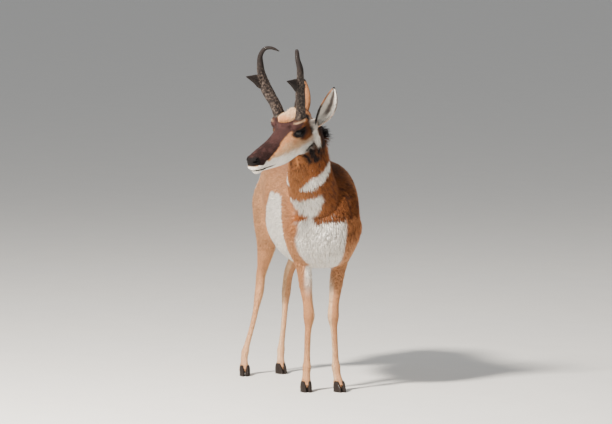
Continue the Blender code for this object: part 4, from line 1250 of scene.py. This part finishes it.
def bare(points):
    """True where no hair grows: the eyes, the nose, the line of the mouth and under the horns."""
    forward, left, up = head_places(points).T
    wide = np.abs(left)
    eye = np.linalg.norm(np.stack([forward, wide, up], 1) - EYE_AT, axis=1) < EYE_RADIUS + 0.0022
    nose = (forward > 0.196) & (up > -0.020) & (up < 0.008)
    horn = np.hypot(forward + 0.037, wide - 0.060) < 0.019
    mouth = (np.abs(up - lips_at(forward)) < 0.0016) & (forward > 0.125)
    return eye | nose | mouth | (horn & (up > 0.045) & (up < 0.09))


def relative_size(region, roots):
    """Tufts are shorter on the face and down the legs, and longer on the chest, each a little unlike."""
    size = np.ones(len(roots))
    if region == "head":
        size = 0.42 + 0.58 * step(-head_places(roots)[:, 0], -0.13, 0.03)
    elif region.startswith("leg"):
        size = 0.70 + 0.30 * step(roots[:, 2], 0.10, 0.40)
    elif region.startswith("torso_front"):
        size = 1 + 0.45 * step(STAND[1] - roots[:, 1], 0.27, 0.34)
    return size * (1 + rng.normal(0, 0.12, len(roots)))


for region, (count, length, width, finish) in COATS.items():
    chosen = np.nonzero(region_of == region)[0]
    roots, outward = drawn(points, normals, tris, chosen, count // THINNER)
    keep = ~bare(roots)
    roots, outward = roots[keep], outward[keep]
    lies = hair_way(roots, outward)
    size = relative_size(region, roots)
    depth = coat_depth(roots)
    if region.startswith("torso"):
        depth = depth * np.maximum(size, 1)
    heights = np.minimum(depth * (0.70 + 0.42 * rng.random(len(roots))), 0.40 * length * size)
    coat = tufts(
        "coat_" + region, roots, outward, lies, length * size, width * (0.6 + 0.4 * size), heights,
        markings_and_shade(roots), unwrap(roots, region),
    )

# %% [markdown]
# Eyes. The pronghorn's eye is very large, set far to the side and almost black, with a pupil drawn out
# level. The ball is a sphere whose front swells into a cornea, so that it can catch the small sharp
# highlight of a wet eye. The lids are a dark bare rim that hugs the ball, with long lashes above.

# %% Eyes
# Colours of the pupil, the iris and its rim, each from its share of the iris outwards
IRIS_STOPS = ((0.30, (0.002, 0.002, 0.003)), (0.42, (0.005, 0.0025, 0.0018)), (0.85, (0.003, 0.002, 0.002)))
LID_TUBE = 0.0019
# The cornea's swelling, and how far round from the middle of the eye it reaches, in radians
SWELL, SWELL_TURN = 0.045, 0.75


def eye_finish():
    """A dark iris round a level pupil: how far each point turns from the way it looks, as an oval."""
    made, nodes, link, shader = new_finish("eye")
    gaze = nodes.new("ShaderNodeAttribute")
    gaze.attribute_name = "iris"
    ramp = nodes.new("ShaderNodeValToRGB")
    stops = ramp.color_ramp.elements
    stops.new(0.85)
    for stop, (position, colour) in zip(stops, IRIS_STOPS):
        stop.position, stop.color = position, (*colour, 1)
    link(gaze.outputs["Fac"], ramp.inputs["Fac"])
    link(ramp.outputs["Color"], shader.inputs["Base Color"])
    preset(shader, {"Roughness": 0.05, "Coat Weight": 0.15, "Coat Roughness": 0.02})
    preset(shader, {"Specular IOR Level": 0.22})
    return made


EYE = eye_finish()


def eyeball(s):
    """A sphere about the way the eye looks, its front swollen by a cosine bulge into a cornea."""
    centre, outward, ahead, above = eye_frame(s)
    polar = np.linspace(0, math.pi, 42)[1:-1]
    turn = np.linspace(0, 2 * math.pi, 64, endpoint=False)
    bulge = np.clip(np.cos(polar / SWELL_TURN * math.pi / 2), 0, 1)
    swell = 1 + SWELL * bulge * (polar < SWELL_TURN)
    radius = (EYE_RADIUS - 0.0004) * swell
    a = (radius * np.sin(polar))[:, None] * np.cos(turn)
    b = (radius * np.sin(polar))[:, None] * np.sin(turn)
    c = (radius * np.cos(polar))[:, None] + 0 * turn
    grid = centre + a[..., None] * ahead + b[..., None] * above + c[..., None] * outward
    return grid, np.hypot(a / 0.0165, b / 0.0100) + (c < 0) * 2.0


for side, s in (("left", 1), ("right", -1)):
    grid, iris = eyeball(s)
    ball = closed("eyeball_" + side, grid)
    layer = ball.data.attributes.new("iris", "FLOAT", "POINT")
    layer.data.foreach_set("value", np.append(iris.ravel(), (0.0, 2.0)).astype(np.float32))
    ball.data.materials.append(EYE)
    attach(ball, "root")
    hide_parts("eye_" + side)

    # The lid's rim: a round tube along the almond, each point moved onto the ball
    centre, outward, ahead, above = eye_frame(s)
    turns = np.linspace(0, 2 * math.pi, 72, endpoint=False)
    a, b = almond(turns, 0.97)
    line = unit(0.0195 * outward + a[:, None] * ahead + b[:, None] * above)
    middle = centre + line * (EYE_RADIUS + 0.0006)
    along = unit(np.roll(middle, -1, 0) - np.roll(middle, 1, 0))
    across = np.cross(along, line)
    thick = LID_TUBE * (1 + 0.35 * np.clip(np.sin(turns), 0, 1))
    circle = np.linspace(0, 2 * math.pi, 14, endpoint=False)
    rim = middle[:, None] + (thick[:, None] * np.cos(circle))[..., None] * across[:, None]
    rim = rim + (0.85 * thick[:, None] * np.sin(circle))[..., None] * line[:, None]
    count, sides = rim.shape[:2]
    lid = face_outward(make("lid_" + side, rim.reshape(-1, 3), strips(count, sides, count)))
    lid.data.materials.append(LID)
    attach(lid, "root")

    # Lashes: long thin tufts from the upper rim, swept back and up
    upper = np.nonzero((np.sin(turns) > 0.15) & (np.cos(turns) < 0.75))[0]
    upper = np.repeat(upper, 3)
    lash_root = middle[upper] + line[upper] * 0.0010 + rng.normal(0, 0.0006, (len(upper), 3))
    lash_way = unit(outward * 0.9 + above * 0.45 - ahead * 0.15 + rng.normal(0, 0.12, (len(upper), 3)))
    lash_face = unit(above - lash_way * (lash_way @ above)[:, None])
    each = np.ones(len(upper))
    lash_uv = 0.5 + 0.4 * np.stack([np.cos(turns[upper]), np.sin(turns[upper])], 1)
    tufts(
        "lashes_" + side, lash_root, lash_face, lash_way, 0.0085 * each, 0.0007 * each, 0.0012 * each,
        BLACK, lash_uv, droop=above * 0.0016,
    )
print("eyes, lids and lashes made")

# %% [markdown]
# Horns. A pronghorn's horn is a bony blade under a sheath of fused hair. The sheath is rough and ridged
# low down, grey with dry bark, and black and polished at its prong and hooked tip. The blade and the
# prong are two tubes of egg-shaped rings along their own axes. They are fused, and the bark is raised
# out of the mesh by noise that is drawn out along the shaft and fades towards the tips.

# %% Horns
# A horn's axis from inside the brow to its hooked tip: forward, left, up, half depth, half width
HORN_AXIS = (
    (-0.03, 0.057, 0.047, 0.025, 0.0185), (-0.0378, 0.0601, 0.0652, 0.0242, 0.0172),
    (-0.044, 0.0725, 0.1064, 0.0225, 0.0156), (-0.0455, 0.0925, 0.1603, 0.024, 0.0138),
    (-0.0556, 0.106, 0.2135, 0.0182, 0.0106), (-0.0678, 0.1092, 0.2527, 0.0138, 0.0112),
    (-0.0765, 0.1027, 0.2852, 0.01, 0.0092), (-0.0945, 0.0896, 0.305, 0.0083, 0.0078),
    (-0.11, 0.0715, 0.3036, 0.0068, 0.006), (-0.1185, 0.0553, 0.293, 0.0047, 0.0045),
    (-0.1238, 0.0457, 0.2835, 0.002, 0.002),
)
PRONG_AXIS = (
    (-0.06, 0.1, 0.17, 0.02, 0.008), (-0.04, 0.103, 0.194, 0.0265, 0.0098),
    (-0.024, 0.106, 0.212, 0.02, 0.0086), (-0.008, 0.109, 0.226, 0.0115, 0.0066),
    (0.004, 0.111, 0.236, 0.006, 0.0045), (0.013, 0.112, 0.243, 0.002, 0.0018),
)
HORN_TWIST = math.radians(5.0)
HORN_VOXEL = 0.0013
# How high the bark's ridges and pearls stand, the faint ridges on the polished part, and what is drawn in
BARK_LIFT, FAINT_LIFT, DRAWN_IN = 0.0007, 0.00012, 0.0003
POLISHED = np.array((0.014, 0.010, 0.009))
BARK = np.array((0.070, 0.052, 0.042))


def horn_tube(axis, s):
    """Egg-shaped rings across a horn's axis, their long way kept to the twisted front."""
    fine = smooth_rows(axis, 10)
    place = on_head(fine[:, :3] * (1, s, 1))
    ahead = FORWARD * math.cos(HORN_TWIST) + LEFT * (s * math.sin(HORN_TWIST))
    along = unit(np.gradient(place, axis=0))
    side_way = unit(np.cross(along, ahead))
    fore_way = np.cross(side_way, along)
    return rings(place, side_way, fore_way, fine[:, 4], fine[:, 3], fine[:, 3], 0, 40)


def horn_sheath(side, s):
    """The fused blade and prong, with bark: ridges along the shaft and pearls, low down only."""
    obj = closed("sheath_" + side, horn_tube(HORN_AXIS, s), horn_tube(PRONG_AXIS, s))
    obj = fused(obj, HORN_VOXEL)
    points, normals, edges, _ = read(obj)
    points = relaxed(points, edges, np.full(len(points), 0.5), 3)
    forward, left, up = head_places(points).T
    axis = smooth_rows(HORN_AXIS, 10)
    off = np.stack([forward, left * s, up], 1)[:, None] - axis[None, :, :3]
    near = (off**2).sum(-1).argmin(1)
    rise = near / (len(axis) - 1)
    on_prong = step(forward - axis[near, 0] - 0.45 * axis[near, 3], 0.012, 0.024) * (up > 0.17)
    # The noise is read in places drawn out along the horn, so that its ridges run up the shaft
    ridge_at = np.stack([forward, left, rise * 0.055], 1)
    ridges = noise(ridge_at, 0.0045, 41) + 0.5 * noise(ridge_at, 0.0022, 42)
    pearls = noise(points, 0.0042, 43) + 0.6 * noise(points, 0.0021, 44)
    rough = (1 - step(rise, 0.36, 0.56)) * (1 - on_prong)
    lift = rough * (BARK_LIFT * ridges + BARK_LIFT * np.clip(pearls, -0.4, 1.2)) + FAINT_LIFT * ridges
    moved(obj, points + normals * (lift - DRAWN_IN)[:, None])
    tint(obj, layered(
        POLISHED,
        (BARK, rough * step(pearls + 0.3 * ridges, -0.5, 0.9)),
        (BARK * 2.0, 0.70 * rough * step(pearls, 0.45, 1.2)),
    ))
    finished(obj, HORN)
    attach(obj, "root")
    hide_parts("horn_" + side)
    return obj


for side, s in (("left", 1), ("right", -1)):
    print("sheath", side, len(horn_sheath(side, s).data.polygons), "faces")

# %% [markdown]
# Ears. Each ear is a leaf of thin skin rolled into a cup: tan behind, black at the tip and along the
# rim, and filled with long white hair that leaves a dark streak down the middle. One grid runs along
# the ear and round it, over the back and then over the inside, so both faces come from one formula.

# %% Ears
# Share of the ear's length, half width, depth of its cup, half opening in degrees, wall
EAR = (
    (0.0, 0.013, 0.015, 150, 0.005), (0.12, 0.018, 0.019, 128, 0.0042), (0.28, 0.0265, 0.022, 104, 0.0036),
    (0.45, 0.03, 0.0205, 94, 0.0032), (0.62, 0.0275, 0.0165, 90, 0.003), (0.78, 0.0205, 0.0115, 88, 0.0027),
    (0.9, 0.012, 0.007, 86, 0.0024), (1.0, 0.003, 0.0028, 84, 0.0014),
)
# Each ear's root, the way it points, the way its cup opens and the bow of its middle
EARS = {
    "left": ((-0.100, 0.054, -0.008), (-0.50, 0.44, 0.76), (0.62, 0.75, 0.02), (-0.005, 0.009, -0.006)),
    "right": ((-0.104, -0.052, -0.008), (-0.62, -0.05, 0.78), (-0.35, -0.9, -0.2), (-0.01, -0.004, -0.008)),
}
EAR_TURNS = 25
EAR_TUFTS = 4500
EAR_DRAWN_IN = 0.0004


def ear_grid(side, inset):
    """Rings of an ear: the back over turns from one rim to the other, then the inside a wall nearer."""
    root, points_to, opens_to, bows_to = (np.array(v) for v in EARS[side])
    along = unit(points_to @ HEAD_AXES)
    opening = opens_to @ HEAD_AXES
    opening = unit(opening - along * (opening @ along))
    across = np.cross(along, opening)
    bow = bows_to @ HEAD_AXES
    share, width, depth, opened, wall = smooth_rows(EAR, 8).T
    centre = on_head(root) + share[:, None] * EAR_LENGTH * along + (4 * share * (1 - share))[:, None] * bow
    t = np.radians(opened)[:, None] * np.linspace(-1, 1, EAR_TURNS)
    width, depth, wall = (v[:, None] for v in (width - inset, depth - inset, wall - 2 * inset))
    outer = (width * np.sin(t))[..., None] * across - (depth * np.cos(t))[..., None] * opening
    back = t[:, ::-1] * 0.97
    inner = ((width - wall) * np.sin(back))[..., None] * across
    inner = inner - ((depth - wall) * np.cos(back))[..., None] * opening
    return centre[:, None] + np.concatenate([outer, inner], 1), opening


def ear_marks(share, turn, inside, points):
    """Tan behind, white within with a dark streak, and a dark rim and tip; turn is 1 at the front edge."""
    wave = 0.05 * noise(points, 0.012, 50)
    low = 1 - step(share, 0.42, 0.58)
    behind = layered(
        TAN * 0.95,
        (BROWN, 0.6 * step(share, 0.62, 0.9)),
        (BLACK * 2, 0.9 * step(turn + wave, 0.30, 0.60) * low),
    )
    streak = 1 - step(np.abs(turn + 0.16 + wave), 0.06, 0.34)
    streak = streak * step(share, 0.15, 0.34) * (1 - step(share, 0.80, 0.92))
    within = painted(WHITE, DARK, streak * 0.85)
    front = step(turn + wave, 0.58, 0.80)
    rear = step(-turn, 0.90, 0.975) * step(share, 0.30, 0.55)
    return layered(
        np.where(inside[:, None], within, behind),
        (BLACK * 2, 0.95 * front * (1 - step(share, 0.42, 0.56))),
        (ORANGE * 0.9, 0.9 * front * step(share, 0.40, 0.54)),
        (BLACK * 2.5, 0.85 * rear),
        (BLACK * 2, step(share + 0.3 * wave, 0.90, 0.95)),
    )


for side in EARS:
    grid, opening = ear_grid(side, EAR_DRAWN_IN)
    shell = closed("ear_shell_" + side, grid)
    count, sides = grid.shape[:2]
    share = np.repeat(np.linspace(0, 1, count), sides)
    across = np.linspace(-1, 1, EAR_TURNS)
    turn = np.tile(np.concatenate([across, across[::-1]]), count)
    inside = np.tile(np.arange(sides) >= EAR_TURNS, count)
    front_way = -1 if side == "left" else 1
    colour = ear_marks(share, turn * front_way, inside, grid.reshape(-1, 3))
    tint(shell, np.vstack([colour, colour[:1], colour[-1:]]))
    shell.data.materials.append(HIDE)
    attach(shell, "root")
    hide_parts("ear_" + side)

    # Hair on both faces, longer inside and along the rims
    hairs = EAR_TUFTS // THINNER
    a, b = rng.random(hairs) ** 0.9 * 0.985, rng.uniform(-1, 1, hairs)
    within = rng.random(hairs) < 0.5
    row = a * (count - 1)
    column = np.where(within, EAR_TURNS + (1 - b) / 2 * (EAR_TURNS - 1), (b + 1) / 2 * (EAR_TURNS - 1))
    i, j = np.minimum(row.astype(int), count - 2), np.minimum(column.astype(int), sides - 2)
    u, v = (row - i)[:, None], (column - j)[:, None]
    p, q, r, w = grid[i, j], grid[i, j + 1], grid[i + 1, j], grid[i + 1, j + 1]
    roots = (p * (1 - v) + q * v) * (1 - u) + (r * (1 - v) + w * v) * u
    up_ear = unit((r - p) * (1 - v) + (w - q) * v)
    outward = unit(np.cross(q - p, r - p))
    centre_line = grid.mean(1)[i]
    flip = np.sign(((roots - centre_line) * outward).sum(1))
    to_open = (outward @ opening)[:, None]
    outward = np.where(within[:, None], outward * np.sign(to_open), outward * flip[:, None])
    rimward = np.abs(b) ** 3
    lies = unit(up_ear + 0.12 * rng.normal(0, 1, up_ear.shape) + within[:, None] * 0.25 * opening)
    lies = unit(lies - outward * (lies * outward).sum(1, keepdims=True))
    taper = np.minimum(1.0, 1.25 - a)
    lengths = np.where(within, 0.016, 0.0075) * taper * (1 + 0.15 * rng.normal(0, 1, hairs))
    heights = np.where(within, 0.0034 + 0.0030 * rimward, 0.0012) * taper
    colours = ear_marks(a, b * front_way, within, roots)
    places = 0.02 + 0.96 * np.stack([np.where(within, 0.5, 0.0) + (b + 1) / 4, a], 1)
    fur = tufts(
        "ear_fur_" + side, roots, outward, lies, lengths, np.where(within, 0.0015, 0.0017), heights,
        colours, places,
    )
print("ears made")

# %% [markdown]
# Hooves. Each foot ends in two pointed toes, flat below and rounded in front. A toe is a stack of
# egg-shaped rings, narrower to the front, with faint rings of growth.

# %% Hooves
# Height, half width, reach forward and back, set back
TOE = (
    (0.0, 0.0108, 0.038, 0.023, 0.0), (0.01, 0.0106, 0.033, 0.0225, 0.001),
    (0.022, 0.0102, 0.026, 0.0215, 0.003), (0.033, 0.009, 0.018, 0.0165, 0.005),
    (0.04, 0.0062, 0.0105, 0.011, 0.006),
)
# Half the way between a foot's toes, and the height of one ring of growth
TOE_SPREAD, GROWTH_RING = 0.0112, 0.0045
# Where each foot stands: x, y, turn in degrees and share of the full width
FEET = {
    "front_left": (0.0595, -0.285, 4, 1.0),
    "front_right": (-0.063, -0.252, -6, 1.0),
    "hind_left": (0.025, 0.407, 6, 0.93),
    "hind_right": (-0.133, 0.365, -14, 0.93),
}

# The toes of a foot turn towards each other by this much
TOE_IN = math.radians(5.0)


def toe_grid(x, y, turn, wide):
    """Rings of one toe, rippled by a sine of the height for the growth rings."""
    height, width, front, back, set_back = smooth_rows(TOE, 9).T
    ahead = np.array((math.sin(turn), -math.cos(turn), 0))
    beside = np.array((math.cos(turn), math.sin(turn), 0))
    ripple = 1 + 0.010 * np.sin(height * 2 * math.pi / GROWTH_RING) * (height > 0.004) - 0.01
    centre = np.stack([0 * height + x, 0 * height + y, height], 1) + STAND - ahead * set_back[:, None]
    return rings(centre, beside, ahead, width * wide * ripple, front * ripple, back * ripple, -0.12, 40)


for foot, (x, y, degrees, wide) in FEET.items():
    turn = math.radians(degrees)
    spread = TOE_SPREAD * wide
    for way, s in (("inner", -1), ("outer", 1)):
        out = (s if foot.endswith("left") else -s) * spread
        toe_x, toe_y = x + out * math.cos(turn), y + out * math.sin(turn)
        grid = toe_grid(toe_x, toe_y, turn - TOE_IN * np.sign(out), wide)
        claw = closed("toe_" + foot + "_" + way, grid)
        claw.data.materials.append(HOOF)
        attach(claw, "root")
        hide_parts("hoof_" + foot + "_" + way)
print("hooves made")

# %% [markdown]
# Mane, crown and fringe. A buck carries a short dark mane down the nape, a pale tuft between the horns
# and a fringe over each hoof. This hair is long, so its tufts have one more ring and may bend over.

# %% Mane, crown and fringe
points, normals, _, tris = read(skin)
rise, turn = round_neck(points)
forward, left, up = head_places(points).T


def standing(
    name, keep, count, length, width, way, height_share, colours, droop, region, loose=0.10
):
    """Long tufts from the triangles whose three points are all kept."""
    chosen = np.nonzero(keep[tris].all(1))[0]
    roots, outward = drawn(points, normals, tris, chosen, count // THINNER)
    lies = unit(way(roots, outward) + rng.normal(0, loose, roots.shape))
    lengths = length(roots) * (1 + rng.normal(0, 0.16, len(roots)))
    obj = tufts(
        name, roots, outward, lies, lengths, np.full(len(roots), width), lengths * height_share,
        colours(roots), unwrap(roots, region), stops=(0.0, 0.35, 0.70), droop=droop,
    )


def mane_length(roots):
    """Short at the withers, longer up the nape and longest in the block behind the ears."""
    share = round_neck(roots)[0]
    return 0.016 + 0.010 * step(share, 0.20, 0.55) + 0.008 * step(share, 0.66, 0.76)


def mane_way(roots, outward):
    """Back along the neck, and more upright behind the ears."""
    share = round_neck(roots)[0]
    near = (share * (len(neck_axis) - 1)).astype(int)
    upright = 0.42 + 0.50 * step(share, 0.66, 0.76)
    return outward * upright[:, None] - neck_along[near] * (1.25 - upright)[:, None]


def mane_colour(roots):
    """Nearly black in the middle and behind the ears, russet at both sides."""
    share, about = round_neck(roots)
    behind = step(share + 0.03 * noise(roots, 0.01, 60), 0.68, 0.74)
    return layered(RUSSET * 1.1, (BLACK * 3, step(np.abs(about), 138, 158)), (BLACK * 2, behind))


mane_zone = (np.abs(turn) > 122) & (shares(points)[1] > 0.3) & (rise > 0.15) & (up < -0.032)
standing(
    "mane", mane_zone, 4600, mane_length, 0.0028, mane_way, 0.10, mane_colour,
    np.array((0.0, 0.0, -0.003)), "neck",
)
crown_zone = (np.hypot((forward + 0.022) / 0.036, left / 0.038) < 1) & (up > 0.045)


def crown_length(roots):
    """Longest in the middle, shorter towards both horns."""
    return 0.018 * (1 - 6.0 * np.abs(head_places(roots)[:, 1]).clip(0, 0.04))


def crown_way(roots, outward):
    """Up and a little back, fanned out to both sides."""
    return UP - 0.30 * FORWARD + head_places(roots)[:, 1:2] * 9 * LEFT


def crown_colour(roots):
    """Cream, and orange at the front edge."""
    ahead = head_places(roots)[:, 0] + 0.006 * noise(roots, 0.008, 61)
    return painted(CREAM * 1.28, ORANGE * 1.3, 0.8 * step(ahead, -0.012, 0.006))


standing(
    "crown", crown_zone, 1400, crown_length, 0.0022, crown_way, 0.05, crown_colour,
    -0.006 * FORWARD, "head", 0.24,
)


def fringe_length(roots):
    """The same for all."""
    return np.full(len(roots), 0.0150)


def fringe_way(roots, outward):
    """Straight down over the tops of the hooves."""
    return np.array((0.0, 0.0, -1.0)) + 0.22 * outward


def fringe_colour(roots):
    """The leg's own colour, a little darker."""
    return markings_and_shade(roots) * 0.9


fringe_zone = (points[:, 2] > 0.026) & (points[:, 2] < 0.052)
standing(
    "fringe", fringe_zone, 1600, fringe_length, 0.0018, fringe_way, 0.05, fringe_colour,
    0.0, "leg_front", 0.06,
)
